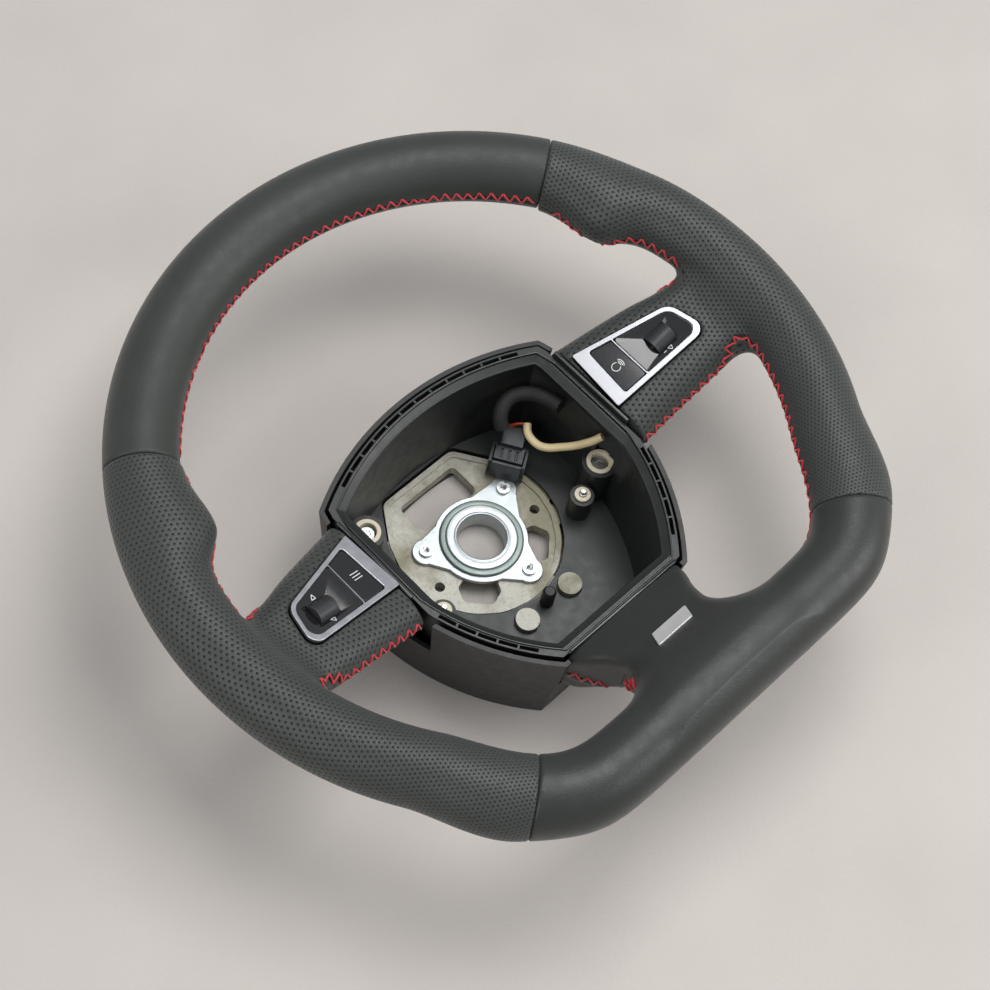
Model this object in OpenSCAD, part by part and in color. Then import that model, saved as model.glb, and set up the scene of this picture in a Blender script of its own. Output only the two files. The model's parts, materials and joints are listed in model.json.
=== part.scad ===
// Flat-bottomed multifunction steering wheel with a bolted hub flange.
// Origin: on the steering axis, at the rear face of the hub bore.
// +Z points along the steering axis towards the driver, +Y to twelve o'clock.

/* [Rim] */
// Diameter of the round part of the rim
rim_d = 375; // [360:1:390]
// Width of the rim's grip, across the rim
grip_w = 36.4; // [32:0.2:40]
// Thickness of the rim's grip, front to back
grip_t = 36.6; // [32:0.2:38]
// Height of the rim's mid-plane above the rear face of the hub bore
rim_h = 98; // [94:1:104]
// How far the rim's centre sits above the steering axis
rim_up = 5.5; // [4:0.5:7]
// Distance from the rim's centre to the flat bottom edge
flat_out = 174.6; // [170:0.2:178]
// Thickness of the leather
leather_t = 1.3; // [1:0.1:1.8]

/* [Hub] */
// Diameter of the hub bore
bore_d = 26; // [24:0.5:27]
// Diameter of the hub flange's collar
collar_d = 44; // [43:0.5:46]
// Depth of the housing, from its front edge to the wheel's rear face
housing_h = 72; // [70:1:73]
// Wall thickness of the rear cover
cover_wall = 2.5; // [2:0.1:2.8]

/* [Switches] */
// Slope of the switch panels towards the hub, in degrees
panel_tilt = 17.5; // [16:0.5:18]
// Radius of the thumb rollers
roller_r = 6; // [5.8:0.1:6.1]
// Length of the thumb rollers
roller_l = 12.4; // [11:0.2:12.6]

/* [Hidden] */
$fn = 64;

// Sides of the rim's swept section, and the angle between its rings
section_n = 20;
ring_step = 4.4;
// Angles from straight down at which the leather panels meet
seam_low = 39.5;
seam_high = 126.7;
// Radius of the ring inside the rim, and its clearance in the foam
ring_r = 6;
ring_gap = 0.3;
// Gap between the leather and the foam
foam_gap = 0.3;
// Half of the foam's parting gap at the bottom of the rim, in degrees
foam_split = 0.1;
// Inner edge of the flat bottom
flat_in = flat_out - 37.1;
// Radial swell of the lower corners, outside and inside
corner_out = 10;
corner_in = 8;
// Thumb swell on the inner edge of the grips
thumb_swell = 11;
thumb_angle = 113.4;
// How far the swell spreads, in degrees, above and below its crest
thumb_above = 9.2;
thumb_below = 5.3;

// Heights below the rim's mid-plane
housing_top = -28;
housing_bottom = housing_top - housing_h;
well_floor = -90;
plate_top = -91;
plate_bottom = -97;
plate_ridge = 1.2;
hub_rear = -rim_h;

// Housing outline: three arcs and a straight bottom edge
top_arc_r = 152.6;
top_arc_y = -91.9;
side_arc_r = 138.3;
side_arc_x = 55.6;
side_arc_y = -1.6;
bottom_edge_y = -99;

// Flange screws: radius and angle about the steering axis
screw_at = [[32.3, 25], [30.2, 153.2], [29.9, 282.8]];
// Rear cover screws, right-hand pair
cover_screw_at = [[42, 40], [47, -67]];
// Cast pads of the armature that show through the well's floor
pad_at = [15.5, -55.3];
// Airbag bolts in their bushes, and the height of each bush
bush_at = [[66.3, -21.8, -60], [-52.5, 28, -62]];
// Where the bars to the bushes leave the armature's plate
bush_root = [[36, -20], [-34, 18]];
// Contact pins, right-hand one
pin_at = [50.2, -27];
post_at = [0, -54];

// Switch panel: centre of the bezel's front face on the right-hand spoke
panel_at = [104.5, -3, -11.3];
bezel_outline = [[-30, -13.6], [31.5, -16.5], [26.5, 6.8], [-27.5, 22.6]];
bezel_corners = [0.8, 6, 9, 0.8];
bezel_opening = [[-22.6, -11.2], [28.6, -13.4], [24.4, 4.9], [-20.4, 18]];
opening_corners = [1.6, 5, 7.5, 1.6];
bezel_t = 2;
split_x = -7.6;
roller_at = [11.3, -2.6, -4.6];
button_gap = 0.35;
board_z = -13.8;

// Route of the airbag lead and of the switch harness, in the rim's frame
lead_d = 4.4;
lead_route = [
    [55.5, 20.5, -65.5], [53.5, 18.5, -66], [52, 16, -66.5], [51.3, 13, -66.5], [51.2, 10, -66.5],
    [51.6, 7, -66], [52.6, 4.2, -65], [54.2, 1.6, -63.8], [56.2, -1, -62], [58.2, -3.8, -60],
    [60, -6.6, -57.5], [61.8, -9.4, -54.5], [63.4, -12, -51], [65, -14.4, -47.5], [66.8, -16.2, -44.5],
    [68.6, -17.4, -42.5]
];
harness_d = 8;
harness_route = [
    [41, 26, -60], [42, 29, -56], [45, 31.5, -52.5], [50, 32.6, -50], [55, 31, -48],
    [59.5, 27, -46.5], [62.5, 21.5, -45], [64.2, 15.5, -44], [65, 9.5, -43]
];

// ---------- geometry helpers ----------

function ease(t) = let (u = min(1, max(0, t))) u * u * (3 - 2 * u);
function soft_min(a, b, k) = -k * ln(exp((b - a) / k) + 1) + b;
function unit(v) = v / norm(v);

// Angle from straight down, folded onto 0 to 180
function fold(t) = let (u = ((t % 360) + 360) % 360) u > 180 ? 360 - u : u;

// Share of the thumb swell at angle b, spread further by some degrees
function thumb_share(b, further) =
    let (spread = (b > thumb_angle ? thumb_above : thumb_below) + further)
    exp(-pow((b - thumb_angle) / spread, 2));

function outer_r(t) =
    let (b = fold(t), round_r = rim_d / 2 + corner_out * ease((57 - b) / 16))
    b > 80 ? round_r : soft_min(round_r, flat_out / cos(b), 4);

function inner_r(t, swell) =
    let (
        b = fold(t),
        bump = swell * thumb_share(b, 0),
        round_r = rim_d / 2 - grip_w + corner_in * ease((54 - b) / 20) - bump
    )
    b > 80 ? round_r : soft_min(round_r, flat_in / cos(b), 3);

// One point of the rim's section at angle t, inset from the leather's surface
function rim_point(t, phi, inset, swell) =
    let (
        r_mid = (outer_r(t) + inner_r(t, swell)) / 2,
        half_w = (outer_r(t) - inner_r(t, swell)) / 2 - inset,
        r = r_mid + half_w * cos(phi)
    )
    [r * sin(t), -r * cos(t), (grip_t / 2 - inset) * sin(phi)];

// One point of the ring at the middle of the section
function core_point(t, phi, r, swell) =
    let (r_mid = (outer_r(t) + inner_r(t, swell)) / 2, rr = r_mid + r * cos(phi))
    [rr * sin(t), -rr * cos(t), r * sin(phi)];

// Quads of a strip between loop k and loop k + 1 of n points each
function strip(k, n, first, flip) = [
    for (i = [0:n - 1])
        let (
            a = first + k * n + i, b = first + k * n + (i + 1) % n,
            c = a + n, d = b + n
        )
        each flip ? [[a, c, d], [a, d, b]] : [[a, d, c], [a, b, d]]
];

// A tube from rings of outer points and rings of inner points
module ring_tube(outer, inner, rings, n) {
    base = rings * n;
    last = (rings - 1) * n;
    faces = concat(
        [for (k = [0:rings - 2]) each strip(k, n, 0, false)],
        [for (k = [0:rings - 2]) each strip(k, n, base, true)],
        [for (i = [0:n - 1])
            let (j = (i + 1) % n)
            each [[i, base + i, base + j], [i, base + j, j]]],
        [for (i = [0:n - 1])
            let (j = (i + 1) % n)
            each [[last + i, base + last + j, base + last + i], [last + i, last + j, base + last + j]]]
    );
    polyhedron(concat(outer, inner), faces, convexity = 6);
}

// A shell of the rim between two angles and two insets
module rim_shell(t0, t1, inset, thick, swell) {
    steps = ceil((t1 - t0) / ring_step);
    angles = [for (k = [0:steps]) t0 + (t1 - t0) * k / steps];
    phis = [for (i = [0:section_n - 1]) 360 * i / section_n];
    outer = [for (t = angles) for (p = phis) rim_point(t, p, inset, swell)];
    inner = [for (t = angles) for (p = phis) rim_point(t, p, inset + thick, swell)];
    ring_tube(outer, inner, steps + 1, section_n);
}

// Points of a corner rounded to radius r, between the edges b-a and b-c
function corner(a, b, c, r) =
    let (
        u = unit(a - b), v = unit(c - b), half = acos(u * v) / 2,
        o = b + unit(u + v) * r / sin(half),
        p = b + u * r / tan(half) - o,
        q = b + v * r / tan(half) - o,
        a0 = atan2(p.y, p.x), turn = atan2(q.y, q.x) - a0,
        da = turn > 180 ? turn - 360 : turn < -180 ? turn + 360 : turn,
        n = 6
    )
    [for (i = [0:n]) o + r * [cos(a0 + da * i / n), sin(a0 + da * i / n)]];

function rounded(pts, radii) =
    let (n = len(pts))
    [for (i = [0:n - 1]) each corner(pts[(i + n - 1) % n], pts[i], pts[(i + 1) % n], radii[i])];

function turn(a, b) = a.x * b.y - a.y * b.x;

// Twice the area of an outline, positive when it runs anticlockwise
function twice_area(pts) =
    let (n = len(pts))
    [for (i = [0:n - 1]) turn(pts[i], pts[(i + 1) % n])] * [for (i = [0:n - 1]) 1];

// An outline with every edge moved in by d, or out where d is negative
function inset(pts, d) =
    let (n = len(pts), way = sign(twice_area(pts)))
    [for (i = [0:n - 1])
        let (
            u = unit(pts[(i + n - 1) % n] - pts[i]), v = unit(pts[(i + 1) % n] - pts[i]),
            half = acos(u * v) / 2,
            side = sign(turn(v, u)) * way
        )
        pts[i] + side * unit(u + v) * d / sin(half)];

// A round cord of n sides swept along a route
function frame_x(d) = unit(cross(d, [0.13, 0.21, 1]));
module cord(route, d, n) {
    count = len(route);
    dirs = [for (k = [0:count - 1]) unit(route[min(k + 1, count - 1)] - route[max(k - 1, 0)])];
    pts = [for (k = [0:count - 1])
        let (x = frame_x(dirs[k]), y = cross(dirs[k], x))
        for (i = [0:n - 1]) route[k] + d / 2 * (cos(360 * i / n) * x + sin(360 * i / n) * y)];
    sides = [for (k = [0:count - 2]) each strip(k, n, 0, false)];
    first = [for (i = [0:n - 1]) n - 1 - i];
    last = [for (i = [0:n - 1]) (count - 1) * n + i];
    polyhedron(pts, concat(sides, [first, last]), convexity = 6);
}

// Places children in the rim's frame, whose origin is the middle of the rim
module at_rim() translate([0, rim_up, rim_h]) children();

// Places children on the switch panel of the right-hand spoke
module at_panel() at_rim() translate(panel_at) rotate([0, -panel_tilt, 0]) children();

module both_sides() {
    children();
    mirror([1, 0, 0]) children();
}

// The housing's tapered body, inset at its front and at its rear, from z0 to z1
module housing_body(inset_top, inset_bottom, z0, z1) {
    function at(z) = inset_top + (inset_bottom - inset_top) * (housing_top - z) / housing_h;
    module arc(x, y, r) {
        translate([x, y, z0])
            cylinder(h = z1 - z0, r1 = r - at(z0), r2 = r - at(z1), $fn = 180);
    }
    intersection() {
        arc(0, top_arc_y, top_arc_r);
        arc(-side_arc_x, side_arc_y, side_arc_r);
        arc(side_arc_x, side_arc_y, side_arc_r);
        rotate([90, 0, 90])
            linear_extrude(220, center = true)
                polygon([
                    [bottom_edge_y + at(z0), z0], [90, z0], [90, z1], [bottom_edge_y + at(z1), z1]
                ]);
    }
}

// ---------- hub and armature ----------

plate_outline = [
    [-24.5, 43.6], [-38, 24], [-44, 8], [-45, -6], [-41.5, -20], [-33, -33], [-20, -43.5],
    [0, -48.5], [20, -43.5], [33, -33], [41.5, -20], [45, -6], [44, 8], [38, 24], [24.5, 43.6]
];
plate_corners = [6, 25, 30, 30, 30, 30, 30, 30, 30, 30, 30, 30, 30, 25, 6];
d_window = [[27.6, -17], [18.6, -14.4], [8.6, -26], [12, -33.4], [20, -36.2], [31.4, -25.4]];
d_corners = [3, 3, 3, 3, 3, 4];
arm_profile = [
    [38, plate_bottom], [73.2, plate_bottom], [75.5, -64], [90, -57], [114, -42], [146, -19],
    [168, -5], [168, 4], [143, -12], [112, -35], [88, -50], [71.5, -61], [70, plate_top],
    [38, plate_top]
];
low_arm_profile = [
    [-38, plate_bottom], [-89.4, plate_bottom], [-93, -64], [-105, -55], [-128, -24], [-149.9, -5],
    [-149.9, 4], [-126, -14.5], [-101, -49], [-86.5, -60], [-85, plate_top], [-38, plate_top]
];

// The three arms of the armature, grown by a clearance
module arms(clear) {
    both_sides()
        rotate([90, 0, 0])
            linear_extrude(24 + 2 * clear, center = true)
                polygon(clear > 0 ? inset(arm_profile, -clear) : arm_profile);
    rotate([90, 0, 90])
        linear_extrude(30 + 2 * clear, center = true)
            polygon(clear > 0 ? inset(low_arm_profile, -clear) : low_arm_profile);
}

// A flat bar between two points
module link(from, to, w) {
    d = to - from;
    translate(from)
        rotate(atan2(d.y, d.x))
            translate([0, -w / 2])
                square([norm(d), w]);
}

module armature() {
    color("#c9c3b0") at_rim() difference() {
        union() {
            difference() {
                translate([0, 0, plate_bottom])
                    linear_extrude(plate_top + plate_ridge - plate_bottom)
                        polygon(rounded(plate_outline, plate_corners));
                translate([0, 0, plate_top])
                    linear_extrude(5)
                        polygon(rounded(inset(plate_outline, 3), plate_corners * 0.8));
            }
            intersection() {
                arms(0);
                cylinder(h = 220, r = rim_d / 2 - grip_w / 2 - ring_r - 0.05, center = true, $fn = 180);
            }
            for (s = [-1, 1])
                translate([s * pad_at.x, pad_at.y, plate_bottom])
                    cylinder(h = -84.5 - plate_bottom, r = 6.3);
            for (k = [0:1])
                translate([0, 0, plate_bottom])
                    linear_extrude(plate_top - plate_bottom) {
                        translate([bush_at[k].x, bush_at[k].y]) circle(5.4);
                        link(bush_root[k], [bush_at[k].x, bush_at[k].y], 11);
                    }
        }
        translate([0, -rim_up, hub_rear - 1])
            cylinder(h = 12, r = 17.2);
        translate([0, 0, plate_bottom - 1])
            linear_extrude(12) {
                translate([0, 26.7])
                    polygon(rounded([[-19.5, -9.6], [19.5, -9.6], [19.5, 9.8], [-19.5, 9.8]], [4, 4, 3, 3]));
                polygon(rounded(d_window, d_corners));
                mirror([1, 0, 0]) polygon(rounded(d_window, d_corners));
            }
        for (s = [-1, 1])
            translate([s * 34.6, -10.7, plate_bottom - 1])
                cylinder(h = 12, r = 2.7);
        for (p = screw_at)
            translate([p[0] * cos(p[1]), p[0] * sin(p[1]) - rim_up, plate_bottom - 1])
                cylinder(h = 12, r = 2.6);
        for (a = bush_at)
            translate([a.x, a.y, plate_bottom - 1])
                cylinder(h = 12, r = 3.2);
    }
}

module rim_ring() {
    color("#b9b8ae") at_rim() {
        steps = 64;
        n = 12;
        pts = [for (k = [0:steps - 1]) for (i = [0:n - 1])
            core_point(360 * k / steps, 360 * i / n, ring_r, 0)];
        faces = [for (k = [0:steps - 1]) for (i = [0:n - 1])
            let (
                a = k * n + i, b = k * n + (i + 1) % n,
                c = ((k + 1) % steps) * n + i, d = ((k + 1) % steps) * n + (i + 1) % n
            )
            each [[a, d, c], [a, b, d]]];
        polyhedron(pts, faces, convexity = 6);
    }
}

module flange_lobe(r, a) {
    rotate(a) {
        translate([r, 0]) circle(7.3);
        polygon([[10, -20], [r + 0.5, -7.28], [r + 0.5, 7.28], [10, 20]]);
    }
}

module hub_flange() {
    lobe_z = rim_h + plate_top;
    color("#d5d9d8") difference() {
        union() {
            translate([0, 0, lobe_z])
                linear_extrude(2.5) {
                    circle(25);
                    for (p = screw_at) flange_lobe(p[0], p[1]);
                }
            cylinder(h = lobe_z + 5, r = 17);
            translate([0, 0, lobe_z + 2])
                cylinder(h = 3, d = collar_d);
        }
        translate([0, 0, -1])
            cylinder(h = 20, d = bore_d);
        translate([0, 0, lobe_z + 4])
            difference() {
                cylinder(h = 2, r = 22.1);
                translate([0, 0, -1]) cylinder(h = 4, r = 19);
            }
        for (p = screw_at)
            rotate(p[1])
                translate([p[0], 0, lobe_z - 1])
                    cylinder(h = 6, r = 2.75);
    }
}

module flange_screws() {
    top = rim_h + plate_top + 2.5;
    color("#c4c7c6") for (p = screw_at)
        rotate(p[1])
            translate([p[0], 0, 0])
                difference() {
                    union() {
                        translate([0, 0, top]) cylinder(h = 2, r = 3.6);
                        translate([0, 0, top - 9]) cylinder(h = 9.5, r = 2.5);
                    }
                    translate([0, 0, top + 0.6])
                        for (k = [0:2]) rotate(60 * k) cube([1.6, 3.4, 4], center = true);
                }
}

// ---------- foam and leather ----------

// How much further in the foam keeps at the thumb swells, whose leather is padded
function thumb_room(t) = 2.4 * thumb_share(fold(t), 3);

module rim_foam() {
    steps = 60;
    n = 16;
    angles = [for (k = [0:steps]) foam_split + (360 - 2 * foam_split) * k / steps];
    outer = [for (t = angles) for (i = [0:n - 1])
        rim_point(t, 360 * i / n, leather_t + foam_gap + 0.3 + thumb_room(t), 0)];
    inner = [for (t = angles) for (i = [0:n - 1])
        core_point(t, 360 * i / n, ring_r + ring_gap + 0.2, 0)];
    color("#3b3a37") at_rim() difference() {
        ring_tube(outer, inner, steps + 1, n);
        arms(0.3);
    }
}

module rim_leather(t0, t1, swell) {
    at_rim() difference() {
        rim_shell(t0, t1, 0, leather_t, swell);
        arms(0.3);
    }
}

module leather_top() {
    color("#45433c") rim_leather(seam_high, 360 - seam_high, 0);
}

module leather_right_grip() {
    color("#3a3833") rim_leather(seam_low, seam_high, thumb_swell);
}

module leather_left_grip() {
    color("#3a3833") rim_leather(360 - seam_high, 360 - seam_low, thumb_swell);
}

module leather_bottom() {
    color("#33342f") rim_leather(-seam_low, seam_low, 0);
}

side_spoke_plan = [
    [76.5, -40.5], [118, -37], [136, -35.5], [158, -38], [158, 23], [146, 22.5], [132, 19.5],
    [104, 24.3], [76.5, 31.5]
];
side_spoke_profile = [
    [76.5, -21.8], [76.5, -61], [84, -61], [114, -46], [150, -23], [160, -14], [160, 1.5],
    [134, -3.6]
];

module side_spoke_leather() {
    at_rim() difference() {
        intersection() {
            translate([0, 0, -80]) linear_extrude(100) polygon(side_spoke_plan);
            rotate([90, 0, 0])
                linear_extrude(120, center = true)
                    polygon(side_spoke_profile);
        }
        arms(0.3);
        rotate_extrude($fn = 128)
            translate([rim_d / 2 - grip_w / 2, 0])
                circle(grip_w / 2 + 0.3, $fn = 32);
        translate(panel_at)
            rotate([0, -panel_tilt, 0])
                translate([0, 0, -16.6])
                    linear_extrude(30)
                        polygon(rounded(inset(bezel_outline, -0.2), bezel_corners));
        housing_body(-0.3, 6.2, housing_bottom, -61);
    }
}

module right_spoke_leather() {
    color("#3a3833") side_spoke_leather();
}

module left_spoke_leather() {
    color("#3a3833") mirror([1, 0, 0]) side_spoke_leather();
}

bottom_spoke_plan = [
    [-39, -95.3], [-39, -100], [-31, -110], [-28, -122], [-31, -132], [-36, -145],
    [36, -145], [31, -132], [28, -122], [31, -110], [39, -100], [39, -95.3]
];
bottom_spoke_profile = [
    [-95.3, -25], [-95.3, -61], [-104, -61], [-128, -32], [-145, -14], [-145, 10],
    [-132, 1], [-118, -7.5]
];

// Places children on the slope of the bottom spoke
module at_badge() translate([0.4, -122.7, -5]) rotate([-37.2, 0, 0]) children();
badge_outline = [[-13.9, -5.2], [9.3, -5.2], [13.9, 5.2], [-9.3, 5.2]];

module bottom_spoke_leather() {
    color("#33342f") at_rim() difference() {
        intersection() {
            translate([0, 0, -80]) linear_extrude(100) polygon(bottom_spoke_plan);
            rotate([90, 0, 90])
                linear_extrude(120, center = true)
                    polygon(bottom_spoke_profile);
        }
        arms(0.3);
        translate([0, -(flat_out + flat_in) / 2, 0])
            rotate([0, 90, 0])
                cylinder(h = 120, r = grip_t / 2 + 0.8, center = true);
        at_badge()
            translate([0, 0, -0.6])
                linear_extrude(3.6)
                    polygon(inset(badge_outline, -0.3));
    }
}

module badge() {
    color("#d0d0cc") at_rim() at_badge()
        translate([0, 0, -0.55])
            linear_extrude(1.6)
                polygon(rounded(badge_outline, [0.8, 0.8, 0.8, 0.8]));
}

// ---------- well and rear cover ----------

slot_w = 2;
slot_l = 9.3;
slot_pitch = 10.4;
slot_depth = 11;

// Slots of the well's front edge along one arc of the housing outline
module slot_row(centre, r, a0, a1) {
    pitch_angle = slot_pitch / r * 180 / PI;
    count = floor((a1 - a0) / pitch_angle);
    for (k = [0:count - 1])
        translate(concat(centre, [housing_top + 2 - slot_depth]))
            rotate(a0 + pitch_angle * (k + 0.5))
                translate([r, 0, slot_depth / 2])
                    cube([slot_w, slot_l, slot_depth], center = true);
}

// The space inside the arms of the armature that the well keeps to, inset by d
module well_clip(d) {
    x_top = 74 - d;
    x_low = 69 - d;
    y_top = -94.6 + d;
    y_low = -84 + d;
    intersection() {
        rotate([90, 0, 0])
            linear_extrude(320, center = true)
                polygon([
                    [-x_low, -100], [x_low, -100], [x_low, -58], [x_top, -38], [x_top, 0],
                    [-x_top, 0], [-x_top, -38], [-x_low, -58]
                ]);
        rotate([90, 0, 90])
            linear_extrude(320, center = true)
                polygon([
                    [y_low, -100], [90, -100], [90, 0], [y_top, 0], [y_top, -38], [y_low, -58]
                ]);
    }
}

module tower(x, y, top, r) {
    translate([x, y, well_floor]) cylinder(h = top - well_floor, r = r);
}

module airbag_well() {
    color("#2a2c2b") at_rim() difference() {
        union() {
            difference() {
                intersection() {
                    housing_body(4.5, 13, well_floor, housing_top + 1.5);
                    well_clip(0);
                }
                intersection() {
                    housing_body(8, 15.5, well_floor + 2, housing_top + 3);
                    well_clip(2.5);
                }
            }
            intersection() {
                housing_body(6, 14, well_floor, -40);
                well_clip(0.5);
                union() {
                    for (a = bush_at) tower(a.x, a.y, a.z - 0.6, 9.5);
                    for (s = [-1, 1]) tower(s * pin_at.x, pin_at.y, -71, 6.4);
                }
            }
            intersection() {
                housing_body(5, 13.5, -44, -29);
                well_clip(0.5);
                both_sides()
                    rotate([90, 0, 0])
                        linear_extrude(120, center = true)
                            polygon([[67, -29.5], [74, -29.5], [74, -44], [72, -44], [67.5, -32.5]]);
            }
            tower(26.5, -77.6, -81, 2.2);
            both_sides()
                for (p = cover_screw_at)
                    translate([p.x, p.y, housing_bottom + 2.8])
                        cylinder(h = well_floor - housing_bottom - 2, r = 4);
        }
        translate([0, 0, well_floor - 0.5])
            linear_extrude(3)
                polygon(rounded(inset(plate_outline, -1.2), plate_corners));
        for (s = [-1, 1])
            translate([s * pad_at.x, pad_at.y, well_floor - 1])
                cylinder(h = 6, r = 6.8);
        for (a = bush_at) {
            translate([a.x, a.y, a.z - 12]) cylinder(h = 20, r = 7.25);
            translate([a.x, a.y, well_floor - 1]) cylinder(h = 40, r = 3.4);
        }
        for (s = [-1, 1])
            translate([s * pin_at.x, pin_at.y, well_floor - 1])
                cylinder(h = 40, r = 2.05);
        translate([post_at.x, post_at.y, well_floor - 1]) cylinder(h = 5, r = 2.05);
        both_sides()
            for (p = cover_screw_at)
                translate([p.x, p.y, housing_bottom])
                    cylinder(h = 9, r = 1.6);
        slot_row([0, top_arc_y], top_arc_r - 6.3, 65, 115);
        slot_row([-side_arc_x, side_arc_y], side_arc_r - 6.3, -39, -15);
        mirror([1, 0, 0]) slot_row([-side_arc_x, side_arc_y], side_arc_r - 6.3, -39, -15);
    }
}

module rear_cover() {
    color("#3a3b38") at_rim() difference() {
        housing_body(0, 6.5, housing_bottom, housing_top);
        housing_body(cover_wall, 6.5 + cover_wall, housing_bottom + 2.5, housing_top + 2);
        housing_body(20, 24, housing_bottom - 1, housing_bottom + 4);
        both_sides() {
            translate([95, -4.5, -20]) cube([60, 73, 83], center = true);
            translate([95, 0, -60]) cube([70, 25, 14], center = true);
            for (p = cover_screw_at)
                translate([p.x, p.y, housing_bottom - 1]) {
                    cylinder(h = 6, r = 1.9);
                    cylinder(h = 2.4, r = 3.9);
                }
        }
        for (a = bush_at) translate([a.x, a.y, housing_bottom - 1]) cylinder(h = 6, r = 5);
        translate([0, -105, -20]) cube([78.6, 30, 83], center = true);
        translate([0, -105, -60]) cube([31, 30, 14], center = true);
    }
}

module cover_screws() {
    color("#8d8f90") at_rim() both_sides()
        for (p = cover_screw_at)
            translate([p.x, p.y, housing_bottom]) {
                difference() {
                    translate([0, 0, 0.1]) cylinder(h = 1.2, r = 3.6);
                    cube([1.2, 4, 1.4], center = true);
                    cube([4, 1.2, 1.4], center = true);
                }
                translate([0, 0, 1.2]) cylinder(h = 7, r = 1.55);
            }
}

module edge_trim() {
    translate([74.2, -25, -30]) cube([2.1, 53, 6.5]);
    translate([75.25, -25, -23.5]) rotate([-90, 0, 0]) cylinder(h = 53, r = 1.05);
}

module right_edge_trim() {
    color("#1c1d1e") at_rim() edge_trim();
}

module left_edge_trim() {
    color("#1c1d1e") at_rim() mirror([1, 0, 0]) edge_trim();
}

module airbag_bushes() {
    color("#cfc9b8") at_rim() for (a = bush_at)
        translate([a.x, a.y, a.z - 11.8])
            difference() {
                cylinder(h = 12, r = 7.2);
                translate([0, 0, -1]) cylinder(h = 20, r = 3.2);
                translate([0, 0, 4]) cylinder(h = 20, r = 4.8);
            }
}

module airbag_bolts() {
    color("#9fa3a6") at_rim() for (a = bush_at)
        translate([a.x, a.y, 0]) {
            translate([0, 0, -99]) cylinder(h = a.z + 96, r = 2.9);
            difference() {
                translate([0, 0, a.z - 7.7]) cylinder(h = 5, r = 4);
                translate([0, 0, a.z - 4]) cylinder(h = 5, r = 2, $fn = 6);
            }
        }
}

module contact_pins() {
    color("#c9cbc8") at_rim() for (s = [-1, 1])
        translate([s * pin_at.x, pin_at.y, well_floor + 1]) {
            cylinder(h = 21, r = 1.95);
            translate([0, 0, 20.5]) cylinder(h = 2.4, r1 = 1.95, r2 = 1.2);
        }
}

module pin_insulators() {
    color("#e3ddc8") at_rim() for (s = [-1, 1])
        translate([s * pin_at.x, pin_at.y, -70.9])
            difference() {
                cylinder(h = 1.6, r = 4.3);
                translate([0, 0, -1]) cylinder(h = 4, r = 2.05);
            }
}

module rubber_post() {
    color("#1b1c1c") at_rim() translate([post_at.x, post_at.y, well_floor + 2.1]) {
        cylinder(h = 12, r = 3.6);
        translate([0, 0, 12]) cylinder(h = 1.6, r1 = 3.6, r2 = 2.6);
        translate([0, 0, -2.4]) cylinder(h = 2.6, r = 1.95);
    }
}

// ---------- connector, lead and harness ----------

module at_connector() {
    at_rim() translate([38, 15.5, well_floor + 2.05]) rotate(-57) children();
}

module connector_holder() {
    color("#232628") at_connector() difference() {
        translate([-10, -6, 0]) cube([20, 13, 15]);
        translate([-8.2, -4.2, 1.5]) cube([16.4, 9.4, 14]);
        translate([-6.5, 4, 10.6]) cube([13, 4, 5]);
        translate([-9.2, -7, 4]) cube([1.2, 2, 12]);
        translate([8, -7, 4]) cube([1.2, 2, 12]);
    }
}

module connector_plug() {
    color("#2e3234") at_connector() difference() {
        union() {
            translate([-7.8, -3.9, 1.8]) cube([15.6, 8.8, 15]);
            translate([-6, 4, 11]) cube([12, 12.5, 9]);
        }
        for (x = [-4, 0, 4]) translate([x - 0.6, -3, 15.6]) cube([1.2, 6, 4]);
    }
}

module connector_latch() {
    color("#b03020") at_connector() translate([-4.5, 11, 20.05]) cube([4, 5, 1.6]);
}

module airbag_lead() {
    color("#e6d2a0") at_rim() cord(lead_route, lead_d, 10);
}

module switch_harness() {
    color("#161616") at_rim() cord(harness_route, harness_d, 10);
}

// ---------- switch panels ----------

module switch_housing() {
    at_panel() difference() {
        translate([0, 0, -15])
            linear_extrude(15 - bezel_t - 0.05)
                polygon(rounded(inset(bezel_outline, 1.2), [2, 4, 6, 2]));
        translate([0, 0, board_z - 0.1])
            linear_extrude(20)
                polygon(rounded(inset(bezel_outline, 2.6), [1.5, 3, 5, 1.5]));
    }
}

module bezel() {
    at_panel() translate([0, 0, -bezel_t]) linear_extrude(bezel_t) difference() {
        polygon(rounded(bezel_outline, bezel_corners));
        polygon(rounded(bezel_opening, opening_corners));
    }
}

// Outline of the opening on one side of the split line
module opening_part(gap, keep_inner) {
    intersection() {
        polygon(rounded(inset(bezel_opening, gap), opening_corners));
        translate([keep_inner ? split_x - 40 - gap / 2 : split_x + 0.2, -30])
            square([40, 60]);
    }
}

module panel() {
    at_panel() difference() {
        translate([0, 0, -bezel_t])
            linear_extrude(bezel_t - 0.5)
                opening_part(0.1, false);
        translate([roller_at.x, roller_at.y, 0])
            cube([roller_l + 1, 11.6, 10], center = true);
    }
}

module button() {
    at_panel() {
        translate([0, 0, -2.8]) linear_extrude(2.5) opening_part(button_gap, true);
        translate([-15, 2, -9]) cylinder(h = 6.5, r = 2.4);
    }
}

module roller_carrier() {
    ear_x = roller_l / 2 + 0.4;
    at_panel() translate([roller_at.x, roller_at.y, 0]) difference() {
        union() {
            translate([0, 0, -11.5]) cube([roller_l + 3.2, 9, 0.9], center = true);
            for (s = [-1, 1])
                translate([s * (ear_x + 0.6), 0, -7.2])
                    cube([1.2, 5, 8], center = true);
        }
        translate([0, 0, roller_at.z])
            rotate([0, 90, 0])
                cylinder(h = 30, r = 1.02, center = true);
    }
}

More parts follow.
